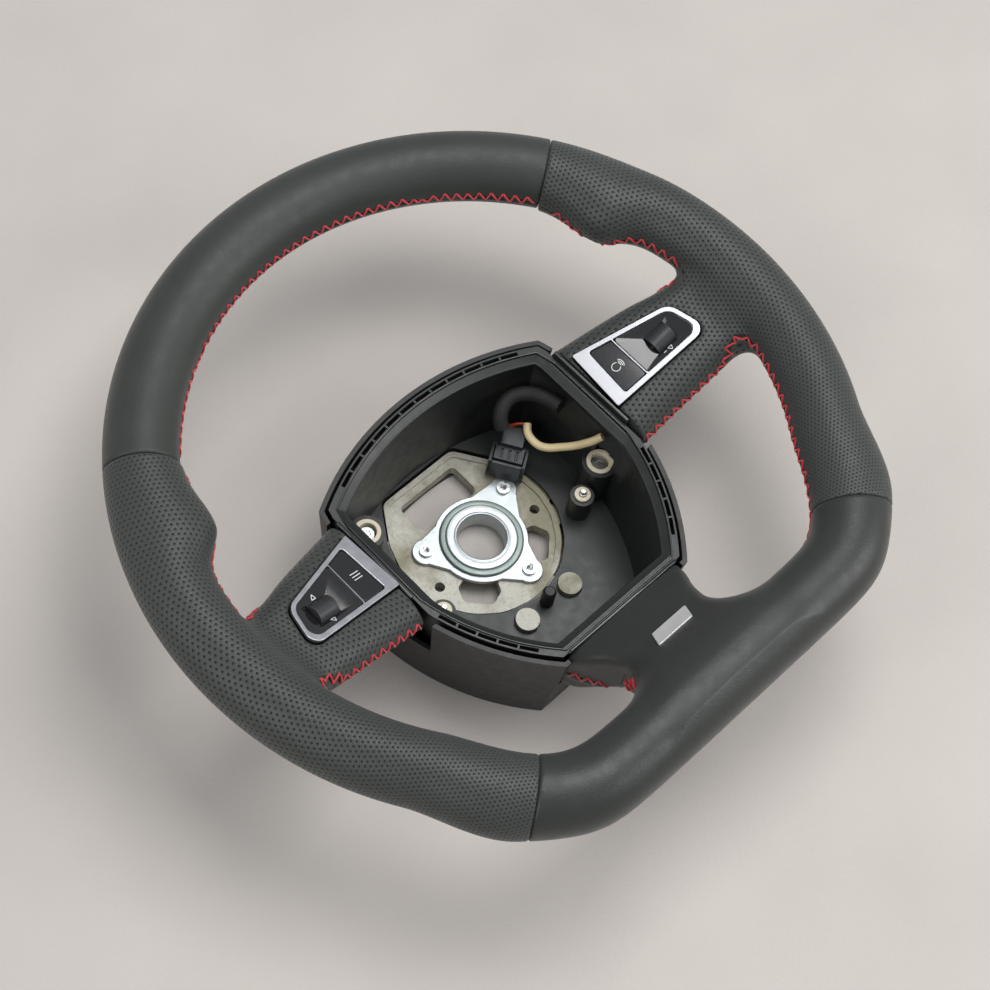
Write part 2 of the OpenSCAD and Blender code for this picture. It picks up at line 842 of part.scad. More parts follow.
module roller_pin() {
    at_panel() translate(roller_at) rotate([0, 90, 0])
        cylinder(h = roller_l + 2.8, r = 1, center = true);
}

module roller() {
    at_panel() translate(roller_at) rotate([0, 90, 0])
        difference() {
            cylinder(h = roller_l, r = roller_r, center = true);
            cylinder(h = 30, r = 1.06, center = true);
            for (k = [0:29])
                rotate(12 * k)
                    translate([roller_r, 0, 0])
                        cube([0.7, 0.55, roller_l - 1.6], center = true);
        }
}

module switch_board() {
    at_panel() translate([0, 0, board_z])
        linear_extrude(1)
            polygon(rounded(inset(bezel_outline, 2.9), [1.5, 3, 5, 1.5]));
}

module switch_dome() {
    at_panel() translate([-15, 2, board_z + 1]) cylinder(h = 2.2, r1 = 4, r2 = 2.6);
}

module mirrored() {
    mirror([1, 0, 0]) children();
}

module right_switch_housing() {
    color("#202122") switch_housing();
}

module left_switch_housing() {
    color("#202122") mirrored() switch_housing();
}

module right_bezel() {
    color("#c7c9ca") bezel();
}

module left_bezel() {
    color("#c7c9ca") mirrored() bezel();
}

module right_panel() {
    color("#0d0e0f") panel();
}

module left_panel() {
    color("#0d0e0f") mirrored() panel();
}

module right_voice_button() {
    color("#111213") button();
}

module left_menu_button() {
    color("#111213") mirrored() button();
}

module right_roller_carrier() {
    color("#2b2c2d") roller_carrier();
}

module left_roller_carrier() {
    color("#2b2c2d") mirrored() roller_carrier();
}

module right_roller_pin() {
    color("#b5b8ba") roller_pin();
}

module left_roller_pin() {
    color("#b5b8ba") mirrored() roller_pin();
}

module right_roller() {
    color("#222325") roller();
}

module left_roller() {
    color("#222325") mirrored() roller();
}

module right_switch_board() {
    color("#1f5b3a") switch_board();
}

module left_switch_board() {
    color("#1f5b3a") mirrored() switch_board();
}

module right_switch_dome() {
    color("#d9d9d2") switch_dome();
}

module left_switch_dome() {
    color("#d9d9d2") mirrored() switch_dome();
}

armature();
rim_ring();
hub_flange();
flange_screws();
rim_foam();
leather_top();
leather_left_grip();
leather_right_grip();
leather_bottom();
left_spoke_leather();
right_spoke_leather();
bottom_spoke_leather();
airbag_well();
rear_cover();
cover_screws();
left_edge_trim();
right_edge_trim();
airbag_bushes();
airbag_bolts();
contact_pins();
pin_insulators();
rubber_post();
connector_holder();
connector_plug();
connector_latch();
airbag_lead();
switch_harness();
left_switch_housing();
right_switch_housing();
left_bezel();
right_bezel();
left_panel();
right_panel();
left_menu_button();
right_voice_button();
left_roller_carrier();
right_roller_carrier();
left_roller_pin();
right_roller_pin();
left_roller();
right_roller();
left_switch_board();
right_switch_board();
left_switch_dome();
right_switch_dome();
badge();
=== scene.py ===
"""Looks of a flat-bottomed multifunction steering wheel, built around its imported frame.

Lengths here are in millimetres in the rim's own frame (origin at the middle of the rim, +Z to
the driver, +Y to twelve o'clock) until place() turns them into metres in the CAD frame.
"""
import json
import math

import bpy
import numpy as np
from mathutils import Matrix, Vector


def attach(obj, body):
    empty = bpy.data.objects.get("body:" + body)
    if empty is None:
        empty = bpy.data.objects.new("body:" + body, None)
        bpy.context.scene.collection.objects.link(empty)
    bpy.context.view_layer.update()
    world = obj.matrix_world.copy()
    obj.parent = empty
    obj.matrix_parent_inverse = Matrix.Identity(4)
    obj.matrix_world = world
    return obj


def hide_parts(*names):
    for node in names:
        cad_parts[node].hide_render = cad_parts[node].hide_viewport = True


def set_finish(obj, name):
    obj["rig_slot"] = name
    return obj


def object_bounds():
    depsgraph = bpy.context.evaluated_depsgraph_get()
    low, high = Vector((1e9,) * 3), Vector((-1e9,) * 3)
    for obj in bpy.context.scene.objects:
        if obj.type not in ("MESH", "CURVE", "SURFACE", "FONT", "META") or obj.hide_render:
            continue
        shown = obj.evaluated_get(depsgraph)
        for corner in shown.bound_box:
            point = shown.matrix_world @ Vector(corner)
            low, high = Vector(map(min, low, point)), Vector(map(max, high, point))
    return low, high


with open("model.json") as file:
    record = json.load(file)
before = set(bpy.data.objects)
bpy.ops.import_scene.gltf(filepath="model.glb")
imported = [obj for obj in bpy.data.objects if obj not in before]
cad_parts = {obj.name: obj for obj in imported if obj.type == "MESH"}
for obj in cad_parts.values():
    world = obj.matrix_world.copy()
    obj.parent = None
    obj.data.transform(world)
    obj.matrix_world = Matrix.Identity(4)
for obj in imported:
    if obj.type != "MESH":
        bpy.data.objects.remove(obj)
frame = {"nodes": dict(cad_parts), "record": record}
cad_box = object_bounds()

import openvdb
from mathutils import Matrix, Vector
from mathutils.bvhtree import BVHTree
from mathutils.kdtree import KDTree

NODES = frame["nodes"]

# ---------- sizes shared with the CAD model ----------

RIM_UP, RIM_HEIGHT = 5.5, 98.0
COLLAR_TOP = 12.0
RIM_RADIUS, GRIP_WIDTH, GRIP_DEPTH = 187.5, 36.4, 36.6
FLAT_OUT, FLAT_IN = 174.6, 137.5
THUMB_SWELL, THUMB_ANGLE, THUMB_ABOVE, THUMB_BELOW = 11.0, 113.4, 9.2, 5.3
SEAM_HIGH = 126.7
PANEL_AT = np.array((104.5, -3.0, -11.3))
PANEL_TILT = math.radians(17.5)
BEZEL_OUTLINE = [(-30, -13.6), (31.5, -16.5), (26.5, 6.8), (-27.5, 22.6)]
BEZEL_CORNERS = [0.8, 6, 9, 0.8]
OPENING = [(-22.6, -11.2), (28.6, -13.4), (24.4, 4.9), (-20.4, 18)]
SPLIT_X = -7.6
ROLLER_AT = (11.3, -2.6)
ROLLER_LENGTH = 12.4
BUTTON_AT = (-15, 2)
BADGE_OUTLINE = [(-13.9, -5.2), (9.3, -5.2), (13.9, 5.2), (-9.3, 5.2)]
BADGE_AT = (0.4, -122.7)
BADGE_TILT = math.radians(-37.2)
PLUG_AT, PLUG_TURN = (38.0, 15.5), math.radians(-57)
LEAD_WIDTH, HARNESS_WIDTH = 4.4, 8.0
LEAD_ROUTE = [
    (55.5, 20.5, -65.5), (53.5, 18.5, -66), (52, 16, -66.5), (51.3, 13, -66.5), (51.2, 10, -66.5),
    (51.6, 7, -66), (52.6, 4.2, -65), (54.2, 1.6, -63.8), (56.2, -1, -62), (58.2, -3.8, -60),
    (60, -6.6, -57.5), (61.8, -9.4, -54.5), (63.4, -12, -51), (65, -14.4, -47.5),
    (66.8, -16.2, -44.5), (68.6, -17.4, -42.5),
]
HARNESS_ROUTE = [
    (41, 26, -60), (42, 29, -56), (45, 31.5, -52.5), (50, 32.6, -50), (55, 31, -48),
    (59.5, 27, -46.5), (62.5, 21.5, -45), (64.2, 15.5, -44), (65, 9.5, -43),
]


def place(points):
    """Points in the rim's frame, in millimetres, as metres in the CAD frame."""
    return (np.asarray(points, float) + (0, RIM_UP, RIM_HEIGHT)) / 1000


# ---------- camera, floor and light ----------


def make_camera():
    """The camera, placed by two angles, a roll and a distance from its target."""
    azimuth, elevation, roll = (math.radians(a) for a in (-56.605, 61.386, 14.037))
    distance, target = 1025.06, np.array([-16.81, -18.20, 0.0])
    back = np.array([
        math.cos(elevation) * math.sin(azimuth),
        -math.cos(elevation) * math.cos(azimuth),
        math.sin(elevation),
    ])
    right = np.array([math.cos(azimuth), math.sin(azimuth), 0.0])
    up = np.cross(back, right)
    turned_right = math.cos(roll) * right + math.sin(roll) * up
    turned_up = math.cos(roll) * up - math.sin(roll) * right
    camera = bpy.data.objects.new("camera", bpy.data.cameras.new("camera"))
    axes = Matrix((turned_right, turned_up, back)).transposed().to_4x4()
    camera.matrix_world = Matrix.Translation(place(target + back * distance)) @ axes
    camera.data.sensor_width = 36.0
    camera.data.lens = 77.54
    bpy.context.scene.collection.objects.link(camera)
    bpy.context.scene.camera = camera


# ---------- materials ----------


class Nodes:
    """A short way to build one material's node tree."""

    def __init__(self, name):
        self.material = bpy.data.materials.new(name)
        self.material.use_nodes = True
        self.tree = self.material.node_tree
        self.shader = self.tree.nodes["Principled BSDF"]

    def add(self, kind, operation=None, **inputs):
        node = self.tree.nodes.new(kind)
        if operation:
            node.operation = operation
        for key, value in inputs.items():
            numbered = key[0] == "i" and key[1:].isdigit()
            self.feed(node.inputs[int(key[1:]) if numbered else key], value)
        return node

    def feed(self, socket, value):
        if isinstance(value, bpy.types.NodeSocket):
            self.tree.links.new(value, socket)
        else:
            socket.default_value = value

    def math(self, operation, a, b=0.0, c=0.0):
        return self.add("ShaderNodeMath", operation, i0=a, i1=b, i2=c).outputs[0]

    def noise(self, scale, detail=3.0, rough=0.55):
        where = self.add("ShaderNodeTexCoord").outputs["Object"]
        node = self.add("ShaderNodeTexNoise", Vector=where, Scale=scale, Detail=detail,
                        Roughness=rough)
        return node.outputs["Fac"]

    def cells(self, scale, feature="F1"):
        where = self.add("ShaderNodeTexCoord").outputs["Object"]
        node = self.add("ShaderNodeTexVoronoi", Vector=where, Scale=scale)
        node.feature = feature
        return node.outputs["Distance"]

    def span(self, value, low, high, to_low, to_high):
        node = self.add("ShaderNodeMapRange", Value=value, i1=low, i2=high, i3=to_low, i4=to_high)
        return node.outputs[0]

    def mix(self, share, a, b):
        node = self.add("ShaderNodeMix")
        node.data_type = "RGBA"
        self.feed(node.inputs["Factor"], share)
        self.feed(node.inputs[6], a)
        self.feed(node.inputs[7], b)
        return node.outputs[2]

    def bump(self, height, distance, strength=1.0, normal=None):
        node = self.add("ShaderNodeBump", Height=height, Distance=distance, Strength=strength)
        if normal is not None:
            self.feed(node.inputs["Normal"], normal)
        return node.outputs["Normal"]


def rgb(colour, gain=1.0):
    """The colour made brighter or darker, as a socket takes it."""
    return tuple(min(1.0, c * gain) for c in colour) + (1.0,)


def surface(name, colour, rough, metal=0.0, mottle=0.12, mottle_scale=45, grain=900,
            grain_depth=0.00004, rough_spread=0.06, coat=0.0, sheen=0.0):
    """A moulded, cast or painted surface: mottled colour, uneven gloss and a fine grain."""
    n = Nodes(name)
    share = n.span(n.noise(mottle_scale), 0.3, 0.7, 0.0, 1.0)
    n.feed(n.shader.inputs["Base Color"],
           n.mix(share, rgb(colour, 1 - mottle), rgb(colour, 1 + mottle)))
    n.feed(n.shader.inputs["Roughness"],
           n.span(n.noise(mottle_scale * 4), 0.3, 0.7, rough - rough_spread, rough + rough_spread))
    n.shader.inputs["Metallic"].default_value = metal
    n.shader.inputs["Coat Weight"].default_value = coat
    n.shader.inputs["Coat Roughness"].default_value = 0.06
    n.shader.inputs["Sheen Weight"].default_value = sheen
    n.shader.inputs["Specular IOR Level"].default_value = 0.5
    if grain_depth:
        n.feed(n.shader.inputs["Normal"], n.bump(n.noise(grain, 2.0), grain_depth))
    return n.material


def leather(name, colour, rough, perforated=False):
    """Fine grained leather, with painted shade in the hollows of its grain. The perforated one has a
    staggered field of holes on its UV map, painted near black inside as painted shade.
    """
    n = Nodes(name)
    pebble = n.cells(1150)
    crease = n.cells(420, "DISTANCE_TO_EDGE")
    cloud = n.span(n.noise(22), 0.3, 0.7, 0.0, 1.0)
    base = n.mix(cloud, rgb(colour, 0.88), rgb(colour, 1.14))
    # painted shade: the colour darkens towards the hollows between the grain's pebbles, where the
    # bump is lowest
    grain_hollow_shade = n.span(pebble, 0.0, 0.7, 0.0, 0.22)
    base = n.mix(grain_hollow_shade, base, rgb(colour, 0.55))
    height = n.math("ADD", n.math("MULTIPLY", pebble, -0.6), n.span(crease, 0.0, 0.12, -0.5, 0.0))
    normal = n.bump(height, 0.00009, 0.55)
    roughness = n.span(n.noise(160), 0.3, 0.7, rough - 0.05, rough + 0.06)
    if perforated:
        hole = n.math("MINIMUM", hole_distance(n, 0.0), hole_distance(n, 0.5))
        inside = n.span(hole, HOLE_RADIUS * 0.72, HOLE_RADIUS * 1.08, 1.0, 0.0)
        pillow = n.span(hole, HOLE_RADIUS, HOLE_PITCH * 0.58, 0.0, 1.0)
        # painted shade: the holes are not cut, so their insides are painted near black
        base = n.mix(n.math("MULTIPLY", inside, 0.93), base, (0.002, 0.002, 0.002, 1))
        roughness = n.math("ADD", roughness, n.math("MULTIPLY", inside, 0.3))
        well = n.math("SUBTRACT", n.math("MULTIPLY", pillow, 0.22), inside)
        normal = n.bump(well, 0.00045, 0.8, normal)
    n.feed(n.shader.inputs["Base Color"], base)
    n.feed(n.shader.inputs["Roughness"], roughness)
    n.feed(n.shader.inputs["Normal"], normal)
    n.shader.inputs["Sheen Weight"].default_value = 0.12
    n.shader.inputs["Sheen Roughness"].default_value = 0.45
    n.shader.inputs["Specular IOR Level"].default_value = 0.42
    return n.material


HOLE_PITCH, HOLE_RADIUS = 2.75, 0.62


def hole_distance(n, shift):
    """Distance in millimetres to the nearest hole of one of the two grids that make the stagger."""
    cell = (HOLE_PITCH, HOLE_PITCH * math.sqrt(3), 1.0)
    where = n.add("ShaderNodeUVMap").outputs["UV"]
    scaled = n.add("ShaderNodeVectorMath", "DIVIDE", i0=where, i1=cell).outputs[0]
    moved = n.add("ShaderNodeVectorMath", "ADD", i0=scaled, i1=(shift, shift, 0.0)).outputs[0]
    part = n.add("ShaderNodeVectorMath", "FRACTION", i0=moved).outputs[0]
    middle = n.add("ShaderNodeVectorMath", "SUBTRACT", i0=part, i1=(0.5, 0.5, 0.0)).outputs[0]
    flat = (cell[0], cell[1], 0.0)
    back = n.add("ShaderNodeVectorMath", "MULTIPLY", i0=middle, i1=flat).outputs[0]
    return n.add("ShaderNodeVectorMath", "LENGTH", i0=back).outputs["Value"]


def backdrop(name, colour):
    """Plain pale cloth with long soft creases and a fine nap."""
    n = Nodes(name)
    cloud = n.span(n.noise(7), 0.35, 0.7, 0.0, 1.0)
    n.feed(n.shader.inputs["Base Color"], n.mix(cloud, rgb(colour), rgb(colour, 0.93)))
    n.shader.inputs["Roughness"].default_value = 0.85
    n.shader.inputs["Specular IOR Level"].default_value = 0.2
    height = n.math("ADD", n.noise(5.0, 2.0), n.math("MULTIPLY", n.noise(1100, 2.0), 0.03))
    n.feed(n.shader.inputs["Normal"], n.bump(height, 0.006))
    return n.material


def cast_metal(name, colour):
    """Raw die casting: a dull skin, darker and yellower in patches, with a rough sandy grain."""
    n = Nodes(name)
    patch = n.span(n.noise(38, 5.0), 0.42, 0.62, 0.0, 1.0)
    speck = n.span(n.noise(520, 3.0), 0.5, 0.72, 0.0, 1.0)
    base = n.mix(patch, rgb(colour), (0.31, 0.29, 0.21, 1))
    base = n.mix(n.math("MULTIPLY", speck, 0.35), base, (0.16, 0.145, 0.10, 1))
    n.feed(n.shader.inputs["Base Color"], base)
    n.feed(n.shader.inputs["Roughness"], n.span(patch, 0.0, 1.0, 0.5, 0.68))
    n.shader.inputs["Metallic"].default_value = 0.35
    grit = n.math("ADD", n.noise(900, 4.0, 0.7), n.math("MULTIPLY", n.noise(210), 0.8))
    n.feed(n.shader.inputs["Normal"], n.bump(grit, 0.00022, 0.8))
    return n.material


SURFACES = {
    "bright_steel": ((0.50, 0.54, 0.55), 0.42, dict(metal=0.85, grain_depth=0.00005)),
    # the groove's steel: the flange's steel made darker, painted shade for the groove
    "satin_ring": ((0.24, 0.29, 0.27), 0.45, dict(metal=0.7)),
    "screw_steel": ((0.55, 0.57, 0.57), 0.32, dict(metal=0.9)),
    "pin_metal": ((0.72, 0.72, 0.70), 0.25, dict(metal=1.0)),
    "foam": ((0.05, 0.05, 0.047), 0.9, {}),
    "well_plastic": ((0.013, 0.015, 0.014), 0.4, dict(grain=1500)),
    "cover_plastic": ((0.021, 0.021, 0.020), 0.5, dict(grain=1300, grain_depth=0.00007)),
    "gloss_trim": ((0.010, 0.011, 0.011), 0.14, dict(coat=0.6, grain_depth=0.0)),
    "cream_plastic": ((0.66, 0.60, 0.45), 0.45, dict(mottle=0.08)),
    "black_rubber": ((0.014, 0.014, 0.015), 0.5, {}),
    "connector_plastic": ((0.020, 0.023, 0.025), 0.38, {}),
    "red_plastic": ((0.34, 0.04, 0.02), 0.4, {}),
    "lead_cream": ((0.72, 0.58, 0.33), 0.42, dict(mottle=0.1, grain_depth=0.0)),
    "harness_sleeve": ((0.008, 0.008, 0.008), 0.7, dict(grain=1600, grain_depth=0.0003)),
    "switch_plastic": ((0.022, 0.022, 0.024), 0.45, {}),
    "silver_trim": ((0.46, 0.47, 0.49), 0.34, dict(metal=0.9, mottle=0.04, grain_depth=0.0)),
    "gloss_black": ((0.009, 0.009, 0.010), 0.13,
                    dict(coat=0.5, mottle=0.2, rough_spread=0.02, grain_depth=0.0)),
    "roller_plastic": ((0.028, 0.029, 0.030), 0.42, {}),
    "board_green": ((0.03, 0.16, 0.08), 0.4, {}),
    "dome_rubber": ((0.70, 0.70, 0.66), 0.55, {}),
    "thread": ((0.50, 0.012, 0.020), 0.55,
               dict(mottle=0.25, mottle_scale=400, grain=3000, grain_depth=0.0002, sheen=0.3)),
    "print_white": ((0.62, 0.64, 0.62), 0.5, dict(mottle=0.05, grain_depth=0.0)),
    "badge_silver": ((0.80, 0.80, 0.79), 0.3, dict(metal=0.6, mottle=0.04, grain_depth=0.0)),
}


def make_materials():
    """Every material by name; those named as a slot of the record also go on the CAD nodes."""
    made = {
        "smooth_leather": leather("smooth_leather", (0.029, 0.033, 0.029), 0.52),
        "perforated_leather": leather("perforated_leather", (0.039, 0.044, 0.040), 0.46, True),
        "black_leather": leather("black_leather", (0.021, 0.024, 0.021), 0.42),
        "cast_alloy": cast_metal("cast_alloy", (0.50, 0.49, 0.43)),
        "table": backdrop("table", (0.52, 0.482, 0.450)),
    }
    for name, (colour, rough, more) in SURFACES.items():
        made[name] = surface(name, colour, rough, **more)
    return made


def make_stage():
    """A pale table under the wheel, three soft lights and a dim even sky."""
    low, size = cad_box[0][2], 3.0
    corners = [(x * size, y * size, low) for x, y in ((-1, -1), (1, -1), (1, 1), (-1, 1))]
    mesh = bpy.data.meshes.new("table")
    mesh.from_pydata(corners, [], [(0, 1, 2, 3)])
    table = bpy.data.objects.new("table", mesh)
    mesh.materials.append(MATERIALS["table"])
    bpy.context.scene.collection.objects.link(table)
    for name, where, size, power in (
        ("overhead", (0.36, 0.02, 1.45), 0.8, 13.0),
        ("window", (-1.5, 0.1, 1.1), 1.2, 11.0),
        ("fill", (1.0, -1.3, 1.1), 1.0, 17.0),
    ):
        light = bpy.data.lights.new(name, "AREA")
        light.size = size
        light.energy = power
        lamp = bpy.data.objects.new(name, light)
        aim = Vector((0.0, 0.0, 0.06)) - Vector(where)
        turn = aim.to_track_quat("-Z", "Y").to_matrix().to_4x4()
        lamp.matrix_world = Matrix.Translation(where) @ turn
        bpy.context.scene.collection.objects.link(lamp)
    world = bpy.data.worlds.new("sky")
    world.use_nodes = True
    world.node_tree.nodes["Background"].inputs["Color"].default_value = (0.93, 0.96, 1.0, 1)
    world.node_tree.nodes["Background"].inputs["Strength"].default_value = 0.46
    bpy.context.scene.world = world
    bpy.context.scene.view_settings.view_transform = "Standard"


# ---------- mesh helpers ----------


def make_piece(name, points, faces, material, body="root", slot=None, replaces=()):
    """A mesh piece that rides on a body, from points in the rim's frame."""
    mesh = bpy.data.meshes.new(name)
    mesh.from_pydata(place(points).tolist(), [], [tuple(int(i) for i in f) for f in faces])
    mesh.validate()
    mesh.update()
    piece = bpy.data.objects.new(name, mesh)
    bpy.context.scene.collection.objects.link(piece)
    mesh.materials.append(MATERIALS[material])
    return finish_piece(piece, body, slot or material, replaces)


def finish_piece(piece, body, slot, replaces=()):
    """Smooth shading, and the piece's body, slot and replaced nodes."""
    piece.data.polygons.foreach_set("use_smooth", [True] * len(piece.data.polygons))
    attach(piece, body)
    if slot in SLOTS:
        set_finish(piece, slot)
    if replaces:
        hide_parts(*replaces)
    return piece


def loop_faces(count, loops, closed=False):
    """Quads between loops of count points each; closed joins the last loop to the first."""
    return [
        (k * count + i, k * count + (i + 1) % count,
         (k + 1) % loops * count + (i + 1) % count, (k + 1) % loops * count + i)
        for k in range(loops if closed else loops - 1) for i in range(count)
    ]


def capped_faces(count, loops):
    """The same, with a face over each end."""
    first = tuple(range(count))[::-1]
    last = tuple((loops - 1) * count + i for i in range(count))
    return loop_faces(count, loops) + [first, last]


def tube(path, radius, sides=6):
    """Points and faces of a round tube along a path, narrower and closed at both ends."""
    path = np.asarray(path, float)
    ahead = np.gradient(path, axis=0)
    ahead /= np.linalg.norm(ahead, axis=1)[:, None]
    side = np.cross(ahead, [0.21, 0.13, 1.0])
    side /= np.linalg.norm(side, axis=1)[:, None]
    over = np.cross(ahead, side)
    angle = np.arange(sides) * 2 * math.pi / sides
    c, s = (f(angle)[None, :, None] for f in (np.cos, np.sin))
    ring = c * side[:, None, :] + s * over[:, None, :]
    width = np.full(len(path), float(radius))
    width[[0, -1]] *= 0.45
    points = (path[:, None, :] + ring * width[:, None, None]).reshape(-1, 3)
    return points, capped_faces(sides, len(path))


def gather(parts):
    """Several (points, faces) pairs as one."""
    points, faces, count = [], [], 0
    for some_points, some_faces in parts:
        points.append(np.asarray(some_points, float))
        faces += [tuple(i + count for i in f) for f in some_faces]
        count += len(some_points)
    return np.concatenate(points), faces


def rounded(corners, radii, steps=6):
    """A closed outline with each corner rounded to its radius, as an array of points."""
    made, corners = [], [np.array(c, float) for c in corners]
    for i, corner in enumerate(corners):
        u = corners[i - 1] - corner
        v = corners[(i + 1) % len(corners)] - corner
        u, v = u / np.linalg.norm(u), v / np.linalg.norm(v)
        half = math.acos(float(u @ v)) / 2
        middle = corner + (u + v) / np.linalg.norm(u + v) * radii[i] / math.sin(half)
        first = corner + u * radii[i] / math.tan(half) - middle
        last = corner + v * radii[i] / math.tan(half) - middle
        start = math.atan2(first[1], first[0])
        turn = (math.atan2(last[1], last[0]) - start + math.pi) % (2 * math.pi) - math.pi
        angles = start + turn * np.arange(steps + 1) / steps
        made += list(middle + radii[i] * np.stack([np.cos(angles), np.sin(angles)], 1))
    return np.array(made)


def inset(corners, gap):
    """The corners of a convex outline with every edge moved in by gap."""
    made, corners = [], [np.array(c, float) for c in corners]
    for i, corner in enumerate(corners):
        u = corners[i - 1] - corner
        v = corners[(i + 1) % len(corners)] - corner
        u, v = u / np.linalg.norm(u), v / np.linalg.norm(v)
        half = math.acos(float(u @ v)) / 2
        made.append(corner + (u + v) / np.linalg.norm(u + v) * gap / math.sin(half))
    return made


# ---------- the shape of the leather, as a distance field ----------


def ease(t):
    """Rises smoothly from 0 to 1 as t does."""
    u = np.clip(t, 0, 1)
    return u * u * (3 - 2 * u)


def soft_min(a, b, k):
    """The lesser of two values, rounded where they cross."""
    return -k * np.logaddexp(0, (b - a) / k) + b


def blend_min(a, b, k):
    """The union of two fields with a fillet of about k."""
    h = np.maximum(k - np.abs(a - b), 0) / k
    return np.minimum(a, b) - h * h * k / 4


def blend_max(a, b, k):
    """Where two fields overlap, with a rounded edge of about k."""
    return -blend_min(-a, -b, k)


def flow(xs, ys):
    """A smooth curve through a few points, as a function."""
    xs, ys = np.array(xs, float), np.array(ys, float)
    slope = np.gradient(ys, xs)

    def at(x):
        i = np.clip(np.searchsorted(xs, x) - 1, 0, len(xs) - 2)
        h = xs[i + 1] - xs[i]
        t = np.clip((x - xs[i]) / h, 0, 1)
        t2, t3 = t * t, t * t * t
        return ((2 * t3 - 3 * t2 + 1) * ys[i] + (t3 - 2 * t2 + t) * h * slope[i]
                + (3 * t2 - 2 * t3) * ys[i + 1] + (t3 - t2) * h * slope[i + 1])

    return at


def outer_radius(b):
    """Outer radius of the rim at angle b from straight down, in degrees."""
    round_r = RIM_RADIUS + 10 * ease((57 - b) / 16)
    flat = FLAT_OUT / np.cos(np.radians(np.minimum(b, 80)))
    return np.where(b > 80, round_r, soft_min(round_r, flat, 4))


def inner_radius(b, swell):
    """Inner radius of the rim at the same angle, less the thumb swell."""
    spread = np.where(b > THUMB_ANGLE, THUMB_ABOVE, THUMB_BELOW)
    bump = swell * np.exp(-(((b - THUMB_ANGLE) / spread) ** 2))
    round_r = RIM_RADIUS - GRIP_WIDTH + 8 * ease((54 - b) / 20) - bump
    flat = FLAT_IN / np.cos(np.radians(np.minimum(b, 80)))
    return np.where(b > 80, round_r, soft_min(round_r, flat, 3))


def rim_distance(x, y, z, swell):
    """Distance to the rim, round or flat-bottomed."""
    b = np.degrees(np.abs(np.arctan2(x, -y)))
    outer, inner = outer_radius(b), inner_radius(b, swell)
    half_w, half_t = (outer - inner) / 2, GRIP_DEPTH / 2
    u = (np.hypot(x, y) - (outer + inner) / 2) / half_w
    return (np.hypot(u, z / half_t) - 1) * half_t


def rounded_box(u, half_u, w, half_w, radius):
    """Distance to a rectangle with rounded corners."""
    qu = np.abs(u) - half_u + radius
    qw = np.abs(w) - half_w + radius
    outside = np.hypot(np.maximum(qu, 0), np.maximum(qw, 0))
    return outside + np.minimum(np.maximum(qu, qw), 0) - radius


SIDE_UPPER = flow([70, 92, 106, 120, 133, 146, 168], [33, 28, 24.6, 21, 17, 14.5, 14.5])
SIDE_LOWER = flow([70, 95, 118, 136, 150, 168], [-36.4, -36.4, -36.8, -37, -37.8, -40])
SIDE_FRONT = flow([70, 134, 150, 168], [-24.0, -4.0, -0.6, 1.0])
SIDE_REAR = flow([70, 84, 114, 150, 168], [-62, -60, -45, -22, -12])
SHOULDER, UNDERCUT, SPOKE_END = 12.0, 0.3, 166.0


def side_spoke_distance(x, y, z):
    """Distance to the right-hand spoke."""
    upper, lower = SIDE_UPPER(x), SIDE_LOWER(x)
    middle, half = (upper + lower) / 2, (upper - lower) / 2
    front = SIDE_FRONT(x) - 1.2 * ((y - middle) / half) ** 2
    rear = SIDE_REAR(x)
    half = half - UNDERCUT * np.clip(front - SHOULDER - z, 0, 30)
    radius = np.minimum(SHOULDER, (front - rear) / 2)
    d = rounded_box(y - middle, half, z - (front + rear) / 2, (front - rear) / 2, radius)
    return np.maximum(d, np.hypot(x, y) - SPOKE_END)


LOW_HALF = flow([-150, -138, -130, -122, -112, -103, -95, -90],
                [40, 33, 29.5, 28, 31, 36.5, 39.4, 39.6])
LOW_FRONT = flow([-150, -138, -130, -118, -106, -95, -90], [8, 4.5, 0.5, -7.8, -17, -25.6, -29])
LOW_REAR = flow([-150, -145, -128, -104, -90], [-14, -16, -33, -60, -61])
LOW_SPOKE_END = 152.0


def low_spoke_distance(x, y, z):
    """Distance to the bottom spoke."""
    front, rear = LOW_FRONT(y) - 1.5 * (x / 39) ** 2, LOW_REAR(y)
    d = rounded_box(x, LOW_HALF(y), z - (front + rear) / 2, (front - rear) / 2, 8.0)
    return np.maximum(d, -y - LOW_SPOKE_END)


def to_panel(x, y, z):
    """Coordinates in the frame of the right-hand switch panel."""
    dx, dy, dz = x - PANEL_AT[0], y - PANEL_AT[1], z - PANEL_AT[2]
    c, s = math.cos(PANEL_TILT), math.sin(PANEL_TILT)
    return dx * c + dz * s, dy, dz * c - dx * s


def from_panel(points):
    """Points of the right-hand switch panel's frame in the rim's frame."""
    p = np.asarray(points, float)
    c, s = math.cos(PANEL_TILT), math.sin(PANEL_TILT)
    return np.stack([p[:, 0] * c - p[:, 2] * s, p[:, 1], p[:, 0] * s + p[:, 2] * c], 1) + PANEL_AT


def outline_distance(u, v, outline):
    """Distance into a convex outline, from the lines of its edges."""
    best = np.full(np.shape(u), -1e9)
    for a, b in zip(outline, np.roll(outline, -1, axis=0)):
        along = b - a
        if np.linalg.norm(along) > 1e-6:
            normal = np.array([along[1], -along[0]]) / np.linalg.norm(along)
            best = np.maximum(best, (u - a[0]) * normal[0] + (v - a[1]) * normal[1])
    return best


POCKET = rounded(inset(BEZEL_OUTLINE, -0.45), BEZEL_CORNERS)
SEAM_GAP = 0.15
HUB_END = 76.9
LOW_END = -95.7


def low_seam(r):
    """Angle of the lower seams from straight down: they lean a little, across the rim."""
    return 37.0 + 2.5 * np.clip((r - 157) / 38, 0, 1)


def between(x, y, low, high):
    """How far a point is past the cuts at two angles from straight down, along the rim."""
    t, r = np.arctan2(x, -y), np.hypot(x, y)
    middle, half = np.radians(low + high) / 2, np.radians(high - low) / 2
    off = (t - middle + math.pi) % (2 * math.pi) - math.pi
    return (np.abs(off) - half) * r + SEAM_GAP


